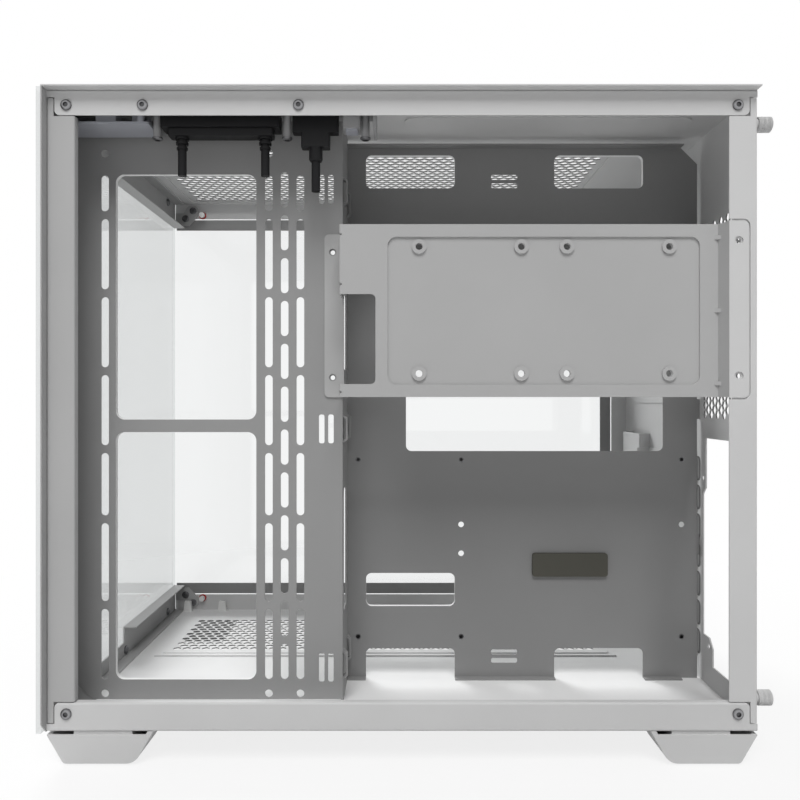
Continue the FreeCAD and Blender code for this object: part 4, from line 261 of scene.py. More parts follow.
def turned_steel(name, dark, bright, face=None):
    """A metal whose tone runs between two greys with a fine noise. Where a face is given along X, the
    tone is less the further a point lies under it, from the socket's top to its bottom: painted shade
    in the socket."""
    material = bpy.data.materials.new(name)
    material.use_nodes = True
    tree = material.node_tree
    surface = tree.nodes["Principled BSDF"]
    surface.inputs["Metallic"].default_value = 1.0
    spot = tree.nodes.new("ShaderNodeTexCoord")
    marks = add_node(tree, "ShaderNodeTexNoise", Scale=2500.0, Detail=2.0)
    join(tree, spot, "Object", marks, "Vector")
    shade = tree.nodes.new("ShaderNodeValToRGB")
    for stop, value in zip(shade.color_ramp.elements, (dark, bright)):
        stop.color = (value, value, value * BLUE_TINGE, 1)
    join(tree, marks, "Fac", shade, "Fac")
    gloss = add_node(tree, "ShaderNodeMapRange", To_Min=0.25, To_Max=0.45)
    join(tree, marks, "Fac", gloss, "Value")
    join(tree, gloss, "Result", surface, "Roughness")
    if face is None:
        join(tree, shade, "Color", surface, "Base Color")
        return material
    # Painted shade: darken the colour with depth below the face.
    axes = tree.nodes.new("ShaderNodeSeparateXYZ")
    join(tree, spot, "Object", axes, "Vector")
    depth = add_node(tree, "ShaderNodeMapRange", From_Min=face - SOCKET_BOTTOM,
                     From_Max=face - SOCKET_TOP, To_Min=SOCKET_PAINTED_SHADE, To_Max=1.0)
    join(tree, axes, "X", depth, "Value")
    tone = tree.nodes.new("ShaderNodeVectorMath")
    tone.operation = "SCALE"
    join(tree, shade, "Color", tone, "Vector")
    join(tree, depth, "Result", tone, "Scale")
    join(tree, tone, "Vector", surface, "Base Color")
    return material


plated = turned_steel("plated_steel", 0.12, 0.24)
socket_painted_shade_steel = turned_steel("socket_painted_shade_steel", 0.24, 0.38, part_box("frame_screws")[1].x)
print("metals:", plated.name, socket_painted_shade_steel.name)

# %% [markdown]
# ## Glass
#
# The panes are clear and 3 mm thick, thin beside the case, so they hardly bend the view. They
# let light straight through with a faint grey tint, and mirror a little of the room: about 4
# percent square on and more at a low angle, by the fifth power rule that stands in for Fresnel's
# equations on both faces of a pane. At a low angle the way through the pane is longer, so the
# tint deepens. Slow smears vary the gloss.

# %% Make the glass
pane_glass = bpy.data.materials.new("pane_glass")
pane_glass.use_nodes = True
tree = pane_glass.node_tree
tree.nodes.remove(tree.nodes["Principled BSDF"])
clear = add_node(tree, "ShaderNodeBsdfTransparent")
mirror = add_node(tree, "ShaderNodeBsdfGlossy", Color=(0.9, 0.9, 0.9, 1))
spot = tree.nodes.new("ShaderNodeTexCoord")
smears = add_node(tree, "ShaderNodeTexNoise", Scale=9.0, Detail=4.0)
join(tree, spot, "Object", smears, "Vector")
gloss = add_node(tree, "ShaderNodeMapRange", To_Min=0.0, To_Max=0.08)
join(tree, smears, "Fac", gloss, "Value")
join(tree, gloss, "Result", mirror, "Roughness")
angle = add_node(tree, "ShaderNodeLayerWeight", Blend=0.5)
tint = tree.nodes.new("ShaderNodeValToRGB")
tint.color_ramp.elements[0].color = (0.955, 0.96, 0.96, 1)
tint.color_ramp.elements[1].color = (0.81, 0.82, 0.82, 1)
join(tree, angle, "Facing", tint, "Fac")
join(tree, tint, "Color", clear, "Color")
power = tree.nodes.new("ShaderNodeMath")
power.operation = "POWER"
join(tree, angle, "Facing", power, 0)
power.inputs[1].default_value = 5.0
mirrored = add_node(tree, "ShaderNodeMapRange", To_Min=0.04, To_Max=1.0)
join(tree, power, "Value", mirrored, "Value")
choice = tree.nodes.new("ShaderNodeMixShader")
join(tree, mirrored, "Result", choice, 0)
join(tree, clear, "BSDF", choice, 1)
join(tree, mirror, "BSDF", choice, 2)
join(tree, choice, "Shader", tree.nodes["Material Output"], "Surface")
print("glass:", pane_glass.name)

# %% [markdown]
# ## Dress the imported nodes
#
# A node whose shape is right stays and only gets its finish. The pieces with a finish of their
# own are listed by name, and every other one takes the coat of the frame.

# %% Assign finishes
FINISHES = {
    inner_painted_shade_coat: ["motherboard_tray", "glass_frame"],
    plate_painted_shade_coat: ["fan_plate"],
    bracket_painted_shade_coat: ["drive_bracket", "front_column", "front_skin", "front_top_rail",
                   "front_bottom_rail", "corner_bracket_top", "corner_bracket_bottom"],
    pane_glass: ["front_glass", "side_glass"],
    foot_plastic: ["front_right_foot", "front_left_foot", "rear_right_foot", "rear_left_foot"],
    white_plastic: ["glass_rests", "glass_pegs", "power_button", "reset_button"],
    grommet_rubber: ["drive_grommets"],
    grey_plastic: ["port_holder", "audio_block"],
    black_plastic: ["usb_block", "reversible_usb_block"],
    board_laminate: ["switch_board", "audio_board"],
    ring_rubber: ["peg_rings"],
    lead_rubber: ["usb_leads", "reversible_usb_lead", "foot_pads"],
    pad_rubber: ["cable_pad"],
    socket_painted_shade_steel: ["frame_screws"],
    plated: ["rail_rivets", "corner_screws", "slot_screws", "holder_screws",
             "panel_thumbscrews", "board_standoffs"],
}
finish_of = {name: material for material, names in FINISHES.items() for name in names}
for name, node in nodes.items():
    node.data.materials.clear()
    node.data.materials.append(finish_of.get(name, frame_coat))
print("dressed:", len(nodes), "nodes,", len(finish_of), "by name")

# %% [markdown]
# ### Nodes with two finishes
#
# The bracket's plate lies recessed and wears painted shade. Its rear tab lies flush in the column, so
# it takes the coat of the frame. The upward faces of the floor inside take the palest coat as painted
# light. The rolled rims round the openings of the tray and the fan plate take it as a painted
# highlight. Cutting the nodes apart would also do, but a second material on chosen faces leaves the
# shapes alone. Faces are chosen by where they lie and where they point.

# %% Give some faces a second coat
SHEET = 1 * MM
TAB_DEPTH, BEAM_DEPTH, FOLD = 1.2 * MM, 6 * MM, 5 * MM
TRAY_DEPTH, FAN_DEPTH = 88.8 * MM, 39.2 * MM
LEVEL = 0.9
tray_face, fan_face = RIGHT - TRAY_DEPTH, RIGHT - FAN_DEPTH
tray_back, fan_back = tray_face - 1.1 * SHEET, fan_face - 1.1 * SHEET
return_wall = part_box("fan_plate")[1].y - FOLD


def second_coat(name, material, chosen):
    """Gives some faces of a node a second finish, picked by their middles and normals."""
    mesh = nodes[name].data
    mesh.materials.append(material)
    middle, normal = np.zeros((2, 3 * len(mesh.polygons)))
    mesh.polygons.foreach_get("center", middle)
    mesh.polygons.foreach_get("normal", normal)
    mask = chosen(middle.reshape(-1, 3), normal.reshape(-1, 3))
    mesh.polygons.foreach_set("material_index", mask.astype(np.int32))
    print(name, mask.sum(), "of", len(mask), "faces wear", material.name)


# Painted shade: the recessed bracket plate keeps its darker coat, and only the flush tab takes the
# frame's.
second_coat("drive_bracket", frame_coat,
            lambda middle, normal: middle[:, 0] > RIGHT - TAB_DEPTH)
# Painted light on the floor's upward faces, and a painted highlight on the rims of the tray and the
# fan plate.
second_coat("floor_pan", pale_painted_light_coat,
            lambda middle, normal: (normal[:, 2] > LEVEL) & (middle[:, 0] < RIGHT - BEAM_DEPTH))
second_coat("motherboard_tray", pale_painted_light_coat,
            lambda middle, normal: middle[:, 0] < tray_back)
second_coat("fan_plate", pale_painted_light_coat,
            lambda middle, normal: (middle[:, 0] < fan_back) & (middle[:, 1] < return_wall))

# %% [markdown]
# ## Honeycomb vents
#
# The real vents are punched with hundreds of small six-sided holes. A pierced sheet is an outline
# and a set of closed loops inside it, so the first thing to make is loops: six-sided ones on a
# staggered grid, circles and rectangles, each as an array of points in a plane.

# %% Draw loops


def hex_loops(low, high, pitch, web):
    """Six-sided loops on a staggered grid: centres at pitch steps, every second row half a step on,
    corners at 30, 90, ... degrees on a circle that leaves the web between neighbours."""
    radius = (pitch - web) / np.sqrt(3)
    row = pitch * np.sqrt(3) / 2
    count = int((high[0] - low[0] - pitch / 2 - 2 * radius) // pitch) + 1
    rows = int((high[1] - low[1] - 2 * radius) // row) + 1
    first_along = (low[0] + high[0] - (count - 0.5) * pitch) / 2
    first_across = (low[1] + high[1] - (rows - 1) * row) / 2
    line, number = np.divmod(np.arange(rows * count), count)
    centres = np.stack([first_along + (number + 0.5 * (line % 2)) * pitch,
                        first_across + line * row], 1)
    angle = np.radians(60 * np.arange(6) + 30)
    corners = radius * np.stack([np.cos(angle), np.sin(angle)], 1)
    return centres, centres[:, None, :] + corners[None]


def swapped(loops):
    """The same loops with their two axes exchanged, still running the same way round."""
    return loops[:, ::-1, ::-1]


def round_loop(centre, radius, count=32):
    """Points of a circle: the centre plus the radius times the cosine and sine of even angles."""
    angle = 2 * np.pi * np.arange(count) / count
    return np.asarray(centre) + radius * np.stack([np.cos(angle), np.sin(angle)], 1)


def box_loop(low, high, radius=0.0, count=6):
    """A rectangle between two corners, its corners quarter circles where a radius is given."""
    low, high = np.asarray(low, float), np.asarray(high, float)
    corners = np.array([low, (high[0], low[1]), high, (low[0], high[1])])
    if radius == 0:
        return corners
    inner = corners + radius * np.array([(1, 1), (-1, 1), (-1, -1), (1, -1)])
    start = np.pi + np.pi / 2 * np.arange(4)
    angle = start[:, None] + np.linspace(0, np.pi / 2, count)[None]
    return (inner[:, None] + radius * np.stack([np.cos(angle), np.sin(angle)], 2)).reshape(-1, 2)


print("loop helpers ready")

# %% [markdown]
# ### From loops to a pierced sheet
#
# A triangulation with the loops as fixed edges fills the sheet and leaves the holes open, and the
# same loops carried through the thickness give the walls. A boolean for each hole would take minutes,
# this takes well under a second. The walls of the small holes wear a dark painted shade, so these are
# darker than the sheet.

# %% Add pieces and pierce sheets
WITH_HOLES = 2
SAME_SPOT = 1e-9


def tidy_normals(piece):
    """Turns every face outwards."""
    work = bmesh.new()
    work.from_mesh(piece.data)
    bmesh.ops.recalc_face_normals(work, faces=work.faces)
    work.to_mesh(piece.data)
    work.free()


def add_piece(name, points, faces, material, body="case"):
    """A mesh object at the origin, in the row frame, that rides on a body."""
    mesh = bpy.data.meshes.new(name)
    mesh.from_pydata(points.tolist(), [], faces)
    mesh.validate()
    mesh.materials.append(material)
    piece = bpy.data.objects.new(name, mesh)
    bpy.context.scene.collection.objects.link(piece)
    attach(piece, body)
    return piece


def pierced_sheet(name, node, outline, loops, turn, coat=frame_coat):
    """A flat sheet as thick as its node's box. turn carries (first, second, height) into the frame:
    the sheet is drawn on its first two axes and the loops are swept along the third."""
    rings = [outline] + loops
    flat = np.concatenate(rings)
    sizes = np.array([len(ring) for ring in rings])
    starts = np.concatenate([[0], np.cumsum(sizes)[:-1]])
    chains = [list(range(s, s + n)) for s, n in zip(starts.tolist(), sizes.tolist())]
    verts, _, tris, _, _, _ = delaunay_2d_cdt(
        [Vector(p) for p in flat.tolist()], [], chains, WITH_HOLES, SAME_SPOT)
    assert len(verts) == len(flat)
    low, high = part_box(node)
    axis = turn.index(2)
    total = len(flat)
    layers = [np.column_stack([flat, np.full(total, height)])[:, turn]
              for height in (low[axis], high[axis])]
    index = np.arange(total)
    onward = index + 1
    onward[starts + sizes - 1] = starts
    walls = np.column_stack([index, onward, onward + total, index + total])
    tris = np.array(tris)
    faces = (tris[:, ::-1]).tolist() + (tris + total).tolist() + walls.tolist()
    piece = add_piece(name, np.concatenate(layers), faces, coat)
    # The walls of the holes wear the dark painted shade.
    piece.data.materials.append(painted_shade)
    punched = np.zeros(len(faces), dtype=np.int32)
    punched[2 * len(tris) + len(outline):] = 1
    piece.data.polygons.foreach_set("material_index", punched)
    tidy_normals(piece)
    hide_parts(node)
    print(name, len(loops), "openings,", len(faces), "faces")
    return piece


print("sheet helpers ready")

# %% [markdown]
# ### Top panel
#
# Over the main chamber the top panel is honeycomb, 7.5 mm from hole to hole. It also has the
# openings for the buttons and ports of the cable chamber, in one line near the open side: three
# round ones, two rectangles and one with rounded ends.

# %% Pierce the top panel
MESH_PITCH = 7.5 * MM
MESH_WEB = 1.9 * MM
FIELD_FRONT, FIELD_REAR = 20, 365
FIELD_LEFT, FIELD_RIGHT = 10.7 * MM, 100 * MM
PORT_INSET = 17 * MM
ROUND_PORTS = ((31, 6.3), (49, 3.3), (180.7, 3.2))
SQUARE_PORTS, SQUARE_REACH, SQUARE_HALF = (75.8, 126.7), 7, 3.1 * MM
LONG_PORT, LONG_HALF, LONG_ROUND = (153, 162.4), 1.85 * MM, 1.8 * MM


def along(distance):
    """The place that lies a distance in mm behind the front of the frame."""
    return FRONT + distance * MM


port_line = RIGHT - PORT_INSET
ports = [round_loop((port_line, along(middle)), radius * MM) for middle, radius in ROUND_PORTS]
for middle in SQUARE_PORTS:
    ports.append(box_loop((port_line - SQUARE_HALF, along(middle - SQUARE_REACH)),
                          (port_line + SQUARE_HALF, along(middle + SQUARE_REACH))))
ports.append(box_loop((port_line - LONG_HALF, along(LONG_PORT[0])),
                      (port_line + LONG_HALF, along(LONG_PORT[1])), LONG_ROUND))
top_field = swapped(hex_loops((along(FIELD_FRONT), LEFT + FIELD_LEFT),
                              (along(FIELD_REAR), RIGHT - FIELD_RIGHT), MESH_PITCH, MESH_WEB)[1])
panel_low, panel_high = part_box("top_panel")
panel = box_loop(panel_low[:2], panel_high[:2])
pierced_sheet("top_honeycomb", "top_panel", panel, ports + list(top_field), [0, 1, 2])

# %% [markdown]
# ### Floor plate
#
# The floor of the main chamber has the same honeycomb, on a loose plate with rounded corners. The
# field is as large as the plate but for a plain rim.

# %% Pierce the floor plate
RIM = 5 * MM
FLOOR_ROUND = 3 * MM
plate_low, plate_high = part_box("floor_mesh")
plate = box_loop(plate_low[:2], plate_high[:2], FLOOR_ROUND)
floor_field = swapped(hex_loops((plate_low.y + RIM, plate_low.x + RIM),
                                (plate_high.y - RIM, plate_high.x - RIM), MESH_PITCH, MESH_WEB)[1])
# The floor plate wears the palest coat, as painted light.
pierced_sheet("floor_honeycomb", "floor_mesh", plate, list(floor_field), [0, 1, 2], pale_painted_light_coat)

# %% [markdown]
# ### Rear vent and fan grille
#
# The rear wall breathes through two finer fields: a tall one beside the power supply and a round
# one behind the rear fan, whose holes are kept only where they lie inside the fan's circle.

# %% Pierce the rear plates
VENT_PITCH = 6.2 * MM
VENT_WEB = 1.2 * MM
VENT_ROUND = 8 * MM
FAN_CIRCLE, FAN_HOLE_REACH, FAN_HOLE = 53 * MM, 52.5 * MM, 2.25 * MM
vent_low, vent_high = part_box("rear_vent")
vent_field = swapped(hex_loops((vent_low.z + RIM, vent_low.x + RIM),
                               (vent_high.z - RIM, vent_high.x - RIM), VENT_PITCH, VENT_WEB)[1])
plate = box_loop((vent_low.x, vent_low.z), (vent_high.x, vent_high.z), VENT_ROUND)
pierced_sheet("rear_vent_honeycomb", "rear_vent", plate, list(vent_field), [0, 2, 1])
grille_low, grille_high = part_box("fan_grille")
low, high = (grille_low.x, grille_low.z), (grille_high.x, grille_high.z)
middle = (np.array(low) + np.array(high)) / 2
centres, cells = hex_loops(low, high, VENT_PITCH, VENT_WEB)
inside = np.hypot(*(centres - middle).T) < FAN_CIRCLE
fan_holes = [round_loop(middle + np.array(side) * FAN_HOLE_REACH, FAN_HOLE, 20)
             for side in ((1, 1), (-1, 1), (-1, -1), (1, -1))]
plate = box_loop(low, high, VENT_ROUND)
pierced_sheet("fan_grille_honeycomb", "fan_grille", plate, list(cells[inside]) + fan_holes, [0, 2, 1])

# %% [markdown]
# ## Knurled thumbscrews
#
# The two thumbscrews of the side panel have a diamond knurl. The head is a turned profile whose
# rim is pressed in along two sets of helical grooves, one running each way. A bump in the material
# would be quicker, but the grooves are large enough to show in the outline.

# %% Turn a knurled screw
TEETH = 36
AROUND = 5 * TEETH
GROOVE, KNURL_ROWS = 0.35 * MM, 25
PLAIN_START, PLAIN_END = 0.3 * MM, 0.7 * MM
EDGE, DISH = 0.2 * MM, 0.6 * MM
DISH_RIM, DISH_FLOOR = 0.6, 0.55


def knurled_screw(middle, rim, neck, shank, tip, reach, start):
    """A turned screw about an axis along +Y. The rim's radius is less by the deeper of two squared
    triangle waves of the angle, shifted forward and back along the axis, so their grooves cross in
    diamonds."""
    rows = np.linspace(start + PLAIN_START, reach - PLAIN_END, KNURL_ROWS)
    angle = 2 * np.pi * np.arange(AROUND) / AROUND
    shift = (rows - start) / (2 * np.pi * rim / TEETH)
    groove = np.zeros((len(rows), AROUND))
    for way in (1, -1):
        phase = (TEETH * angle[None] / (2 * np.pi) + way * shift[:, None]) % 1.0
        groove = np.maximum(groove, np.abs(2 * phase - 1) ** 2)
    before = [(0, tip), (shank, tip), (shank, 0), (neck, 0), (neck, start), (rim - GROOVE, start)]
    behind = [(rim - 2 * GROOVE, reach - EDGE), (rim - 3 * GROOVE, reach), (rim * DISH_RIM, reach),
              (rim * DISH_FLOOR, reach - DISH), (0, reach - DISH)]
    plain = [np.full(AROUND, r) for r, _ in before] + list(rim - GROOVE * groove)
    plain += [np.full(AROUND, r) for r, _ in behind]
    radius = np.array(plain)
    height = np.concatenate([[h for _, h in before], rows, [h for _, h in behind]])
    points = np.stack([middle[0] + radius * np.cos(angle),
                       np.broadcast_to(middle[1] + height[:, None], radius.shape),
                       middle[2] + radius * np.sin(angle)], 2).reshape(-1, 3)
    ring = np.arange(AROUND)
    line = AROUND * np.arange(len(height) - 1)[:, None]
    near, far = line + ring, line + (ring + 1) % AROUND
    faces = np.stack([near, near + AROUND, far + AROUND, far], 2).reshape(-1, 4)
    return points, faces.tolist()


print("knurl:", TEETH, "teeth,", AROUND, "points round the rim")

# %% [markdown]
# ### Both screws as one piece
#
# The model keeps the two thumbscrews in one node, so both are gathered in one mesh. A turned
# profile ends in many points on its axis, and these are joined to one before the faces are turned.

# %% Knurl the thumbscrews
SHANK, HEAD_START = 1.7 * MM, 2.5 * MM
JOINED = 1e-6


def gathered(solids):
    """One set of points and faces out of several, each counted on from the one before."""
    starts = np.cumsum([0] + [len(points) for points, _ in solids])
    faces = [[start + corner for corner in face]
             for start, (_, some) in zip(starts.tolist(), solids) for face in some]
    return np.concatenate([points for points, _ in solids]), faces


def weld(piece):
    """Joins points that lie on one spot, such as the ends of a turned profile."""
    work = bmesh.new()
    work.from_mesh(piece.data)
    bmesh.ops.remove_doubles(work, verts=work.verts, dist=JOINED)
    work.to_mesh(piece.data)
    work.free()


screw_low, screw_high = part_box("panel_thumbscrews")
rim = (screw_high.x - screw_low.x) / 2
solids = []
for height in (screw_low.z + rim, screw_high.z - rim):
    seat = ((screw_low.x + screw_high.x) / 2, REAR, height)
    solids.append(knurled_screw(seat, rim, rim * 2 / 3, SHANK, screw_low.y - REAR,
                                screw_high.y - REAR, HEAD_START))
points, faces = gathered(solids)
screws = add_piece("knurled_thumbscrews", points, faces, knurl_coat)
weld(screws)
tidy_normals(screws)
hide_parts("panel_thumbscrews")
print(screws.name, len(faces), "faces")

# %% [markdown]
# ## Profiles carried straight across
#
# The pieces that follow are all prisms: a closed profile, some of its corners rounded, carried from
# one height to another. A curve with an extrusion would do too, but two short functions keep every
# point in the frame of the part.

# %% Round and sweep profiles
ALONG_X, ALONG_Y = [2, 0, 1], [0, 2, 1]


def rounded_loop(corners, radii, count=16):
    """A polygon whose corners are arcs: the middle of an arc lies on the bisector of its corner, at
    the radius over the sine of half the corner's angle."""
    corners = np.asarray(corners, float)
    befores, afters = np.roll(corners, 1, 0), np.roll(corners, -1, 0)
    loop = []
    for corner, before, after, radius in zip(corners, befores, afters, radii):
        if radius == 0:
            loop.append(corner[None])
            continue
        back, on = [(end - corner) / np.linalg.norm(end - corner) for end in (before, after)]
        half = np.arccos(back @ on) / 2
        middle = corner + (back + on) / np.linalg.norm(back + on) * radius / np.sin(half)
        first, last = [corner + way * radius / np.tan(half) - middle for way in (back, on)]
        sweep = np.arctan2(first[0] * last[1] - first[1] * last[0], first @ last)
        angle = np.linspace(0, sweep, count)
        across = np.array([-first[1], first[0]])
        loop.append(middle + np.cos(angle)[:, None] * first + np.sin(angle)[:, None] * across)
    return np.concatenate(loop)


def swept(loop, start, end, turn):
    """A loop carried straight from one height to another: two caps and a wall of quads. turn carries
    (first, second, height) into the frame, as for a pierced sheet."""
    count = len(loop)
    layers = [np.column_stack([loop, np.full(count, height)])[:, turn] for height in (start, end)]
    index = np.arange(count)
    onward = (index + 1) % count
    walls = np.column_stack([index, onward, onward + count, index + count])
    return np.concatenate(layers), [index[::-1].tolist(), (index + count).tolist()] + walls.tolist()


print("profile helpers ready")

# %% [markdown]
# ## Feet
#
# The feet are hollow mouldings. Each carries the floor pan on a seat in the middle and on its inner
# end, with a deep pocket on both sides of the seat. Two profiles carried straight across give that:
# a core with the pockets, and a thin cheek on both of its faces that closes the pockets but for a
# slit under the pan.

# %% Mould the feet
SLIT = 2.0 * MM
CHEEK = 1.2 * MM
POCKET = 10 * MM
OUTER_SLOPE, INNER_SLOPE = 9.9 * MM, 10.8 * MM
OUTER_ROUND, INNER_ROUND = 3 * MM, 9 * MM
END_TOP, END_NECK, END_ROOT = 3.2 * MM, 4.3 * MM, 8.9 * MM
SEAT_TOP, SEAT_ROOT = (50.2 * MM, 15.9 * MM), (51.7 * MM, 14.4 * MM)
WALL_ROOT, WALL_TOP = 7.3 * MM, 2.6 * MM
for end, outer, way in (("front", FRONT, 1), ("rear", REAR, -1)):
    for side in ("right", "left"):
        node = end + "_" + side + "_foot"
        low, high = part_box(node)
        length, shoulder, hollow = high.y - low.y, high.z - SLIT, high.z - POCKET
        under = [(0, shoulder), (OUTER_SLOPE, low.z), (length - INNER_SLOPE, low.z),
                 (length, high.z), (length - END_TOP, high.z)]
        rounds = [0, OUTER_ROUND, INNER_ROUND, 0, 0]
        cheek = rounded_loop(under + [(length - END_NECK, shoulder)], rounds + [0])
        pockets = [(length - END_ROOT, hollow), (SEAT_ROOT[0], hollow), (SEAT_TOP[0], high.z),
                   (SEAT_TOP[1], high.z), (SEAT_ROOT[1], hollow), (WALL_ROOT, hollow),
                   (WALL_TOP, shoulder)]
        core = rounded_loop(under + pockets, rounds + [0] * len(pockets))
        solids = []
        for loop, start, stop in ((cheek, low.x, low.x + CHEEK),
                                  (core, low.x + CHEEK, high.x - CHEEK),
                                  (cheek, high.x - CHEEK, high.x)):
            placed = np.column_stack([outer + way * loop[:, 0], loop[:, 1]])
            solids.append(swept(placed, start, stop, ALONG_X))
        points, faces = gathered(solids)
        foot = add_piece("moulded_" + node, points, faces, foot_plastic)
        tidy_normals(foot)
        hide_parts(node)
        print(foot.name, len(faces), "faces")

# %% [markdown]
# ## The tray's lower corner
#
# The tray runs square into the corner between the floor and the rear wall. A small three-sided
# plate, as thick as the tray, fills that corner. It lies in the tray's plane and wears the tray's
# coat, so no joint is seen.

# %% Fill the tray's corner
CORNER = 12 * MM
TRAY_GAP = 1.9 * MM
tray_low, tray_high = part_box("motherboard_tray")
edge, foot_line = tray_high.y - TRAY_GAP, tray_low.z
corner = np.array([(edge - CORNER, foot_line), (edge, foot_line), (edge, foot_line + CORNER)])
points, faces = swept(corner, tray_face - SHEET, tray_face, ALONG_X)
filled = add_piece("tray_corner", points, faces, inner_painted_shade_coat)
tidy_normals(filled)
print(filled.name, len(faces), "faces")

# %% [markdown]
# ## Ends of the card slots
#
# Seven covers close the card slots of the rear wall. Their ends show as a narrow row beside the tray:
# a rounded plate for each, with a dark gap around it, which is painted shade on a thin plate behind.
# Two thin rounded loops carried into the wall, one a little larger than the other, give both.

# %% Add the ends of the card slots
SLOT_LOW, SLOT_PITCH, SLOT_COUNT = 26.2 * MM, 20.32 * MM, 7
SLOT_NEAR, SLOT_FAR, SLOT_HALF = 87.4 * MM, 98 * MM, 8.6 * MM
SLOT_ROUND = 3.6 * MM
GAP = np.array([2.4, 1.0]) * MM
GAP_PROUD, END_PROUD = 0.1 * MM, 0.3 * MM
wall = tray_high.y
# The larger loops are painted shade standing in for the shadowed gaps.
for name, margin, proud, coat in (("slot_gap_painted_shade", 0 * GAP, GAP_PROUD, painted_shade),
                                  ("slot_ends", GAP, END_PROUD, inner_painted_shade_coat)):
    solids = []
    for height in FLOOR + SLOT_LOW + SLOT_PITCH * np.arange(SLOT_COUNT):
        low = np.array([RIGHT - SLOT_FAR, height - SLOT_HALF]) + margin
        high = np.array([RIGHT - SLOT_NEAR, height + SLOT_HALF]) - margin
        loop = box_loop(low, high, SLOT_ROUND - margin[1])
        solids.append(swept(loop, wall - proud, wall, ALONG_Y))
    points, faces = gathered(solids)
    row = add_piece(name, points, faces, coat)
    tidy_normals(row)
    print(row.name, len(faces), "faces")

# %% [markdown]
# ## Painted shade in the standoffs' bores
#
# The standoffs are tapped for the screws of the board. A small dark disc closes each bore half way
# along: painted shade, which stands for the dark inside the bore and hides what is behind it. The
# discs follow the usual grid of a full size board, which lies in the middle of the standoffs' own
# box.

# %% Close the bores
BORE, BORE_SIDES = 1.3 * MM, 16
GRID_ALONG, GRID_UP = (227.33 * MM, 154.94 * MM, 0.0), (281.94 * MM, 124.46 * MM, 0.0)
stand_low, stand_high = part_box("board_standoffs")
centre = (stand_low + stand_high) / 2
rear_row, low_row = centre.y + GRID_ALONG[0] / 2, centre.z - GRID_UP[0] / 2
discs = [round_loop((rear_row - back, low_row + up), BORE, BORE_SIDES)
         for back in GRID_ALONG for up in GRID_UP]
solids = [swept(disc, centre.x - SHEET / 2, centre.x + SHEET / 2, ALONG_X) for disc in discs]
points, faces = gathered(solids)
bore_shade = add_piece("standoff_bore_shade", points, faces, painted_shade)
tidy_normals(bore_shade)
print(bore_shade.name, len(solids), "discs,", len(faces), "faces")

# %% [markdown]
# ## Floor
#
# The picture has a white ground with no horizon. A white floor under lamps would turn grey towards
# its rim, so the floor shows plain white to the eye far from the case, and keeps a soft shadow near
# it. Gloss and glass see the same white as the eye does.

# %% Build the floor
FLOOR_REACH = 6.0
GROUND_WHITE = 0.75
SHADOW_NEAR, SHADOW_FAR, SHADOW_WHITE = 0.2, 0.6, 0.82


def seen_rays(tree):
    """1 for rays that come from the camera, off gloss or through glass and 0 for all others: the
    largest of the three marks of the light path."""
    rays = tree.nodes.new("ShaderNodeLightPath")
    largest = [tree.nodes.new("ShaderNodeMath") for _ in range(2)]
    for node in largest:
        node.operation = "MAXIMUM"
    join(tree, rays, "Is Camera Ray", largest[0], 0)
    join(tree, rays, "Is Glossy Ray", largest[0], 1)
    join(tree, largest[0], "Value", largest[1], 0)
    join(tree, rays, "Is Transmission Ray", largest[1], 1)
    return largest[1]


grid = FLOOR_REACH * np.array([(-1, -1, 0), (1, -1, 0), (1, 1, 0), (-1, 1, 0)])
floor_mesh = bpy.data.meshes.new("studio_floor")
floor_mesh.from_pydata(grid.tolist(), [], [(0, 1, 2, 3)])
floor = bpy.data.objects.new("studio_floor", floor_mesh)
bpy.context.scene.collection.objects.link(floor)
floor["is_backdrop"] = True
ground = bpy.data.materials.new("studio_ground")
ground.use_nodes = True
tree = ground.node_tree
surface = tree.nodes["Principled BSDF"]
surface.inputs["Base Color"].default_value = (*grey(GROUND_WHITE), 1)
surface.inputs["Roughness"].default_value = 0.9
glow = add_node(tree, "ShaderNodeEmission", Strength=1.0)
spot = tree.nodes.new("ShaderNodeTexCoord")
distance = tree.nodes.new("ShaderNodeVectorMath")
distance.operation = "LENGTH"
join(tree, spot, "Object", distance, 0)
fade = add_node(tree, "ShaderNodeMapRange", From_Min=SHADOW_NEAR, From_Max=SHADOW_FAR,
                To_Min=SHADOW_WHITE, To_Max=1.0)
join(tree, distance, "Value", fade, "Value")
weight = tree.nodes.new("ShaderNodeMath")
weight.operation = "MULTIPLY"
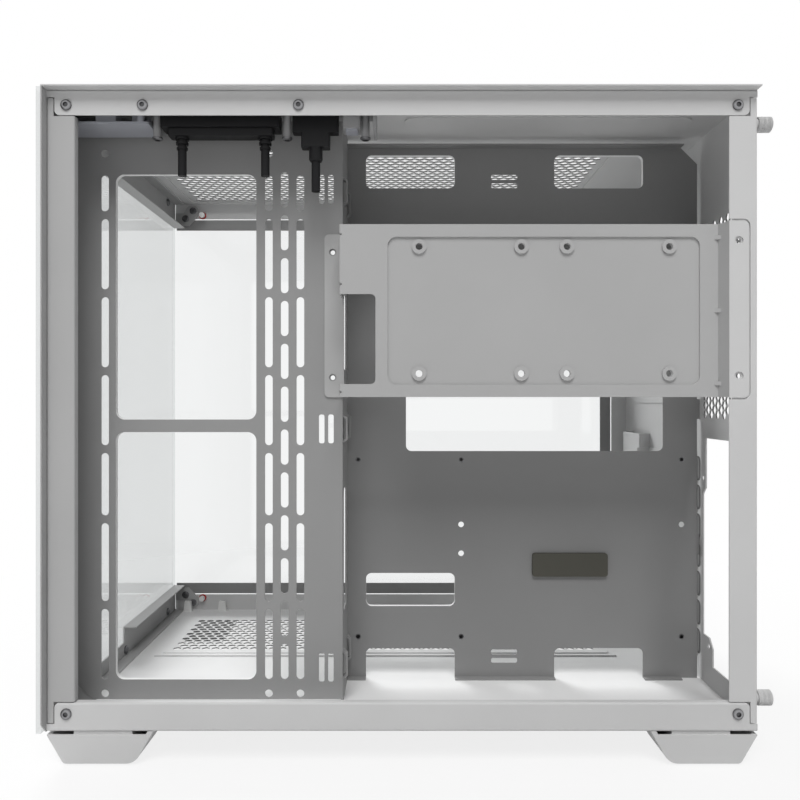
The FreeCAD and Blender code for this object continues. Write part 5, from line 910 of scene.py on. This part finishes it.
join(tree, seen_rays(tree), "Value", weight, 0)
join(tree, fade, "Result", weight, 1)
blend = tree.nodes.new("ShaderNodeMixShader")
join(tree, weight, "Value", blend, 0)
join(tree, surface, "BSDF", blend, 1)
join(tree, glow, "Emission", blend, 2)
join(tree, blend, "Shader", tree.nodes["Material Output"], "Surface")
floor_mesh.materials.append(ground)
print("floor:", floor.name)

# %% [markdown]
# ## Background and light
#
# The world is white to the eye and gives only a dim light. A large lamp stands high on the open side,
# so the near frame is bright and the plates deep inside stay darker, as in the picture; their darker
# coats add painted shade to that. A second lamp shines through the glass side onto the floor of the
# main chamber.

# %% Light the studio
AMBIENT = 0.15
world = bpy.data.worlds.new("studio")
bpy.context.scene.world = world
world.use_nodes = True
tree = world.node_tree
dim = tree.nodes["Background"]
dim.inputs["Strength"].default_value = AMBIENT
dim.inputs["Color"].default_value = (1, 1, 1, 1)
white = add_node(tree, "ShaderNodeBackground", Color=(1, 1, 1, 1), Strength=1.0)
blend = tree.nodes.new("ShaderNodeMixShader")
join(tree, seen_rays(tree), "Value", blend, 0)
join(tree, dim, "Background", blend, 1)
join(tree, white, "Background", blend, 2)
join(tree, blend, "Shader", tree.nodes["World Output"], "Surface")


def softbox(name, place, aim, size, power):
    """A square area lamp that looks at a point and isn't seen itself."""
    lamp = bpy.data.lights.new(name, "AREA")
    lamp.size = size
    lamp.energy = power
    made = bpy.data.objects.new(name, lamp)
    made.location = place
    made.rotation_mode = "QUATERNION"
    made.rotation_quaternion = (Vector(aim) - Vector(place)).to_track_quat("-Z", "Y")
    made.visible_camera = False
    made.visible_glossy = False
    made.visible_transmission = False
    bpy.context.scene.collection.objects.link(made)


CENTRE = (0, 0, 0.2)
softbox("main_lamp", place=(2.6, 0.0, 3.9), aim=CENTRE, size=2.2, power=166)
softbox("glass_side_lamp", place=(-3.0, -1.6, 2.2), aim=CENTRE, size=1.8, power=160)

# %% Write the boxes and finish
low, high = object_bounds()
print("visual box in mm:", [round(v / MM, 1) for v in high - low])
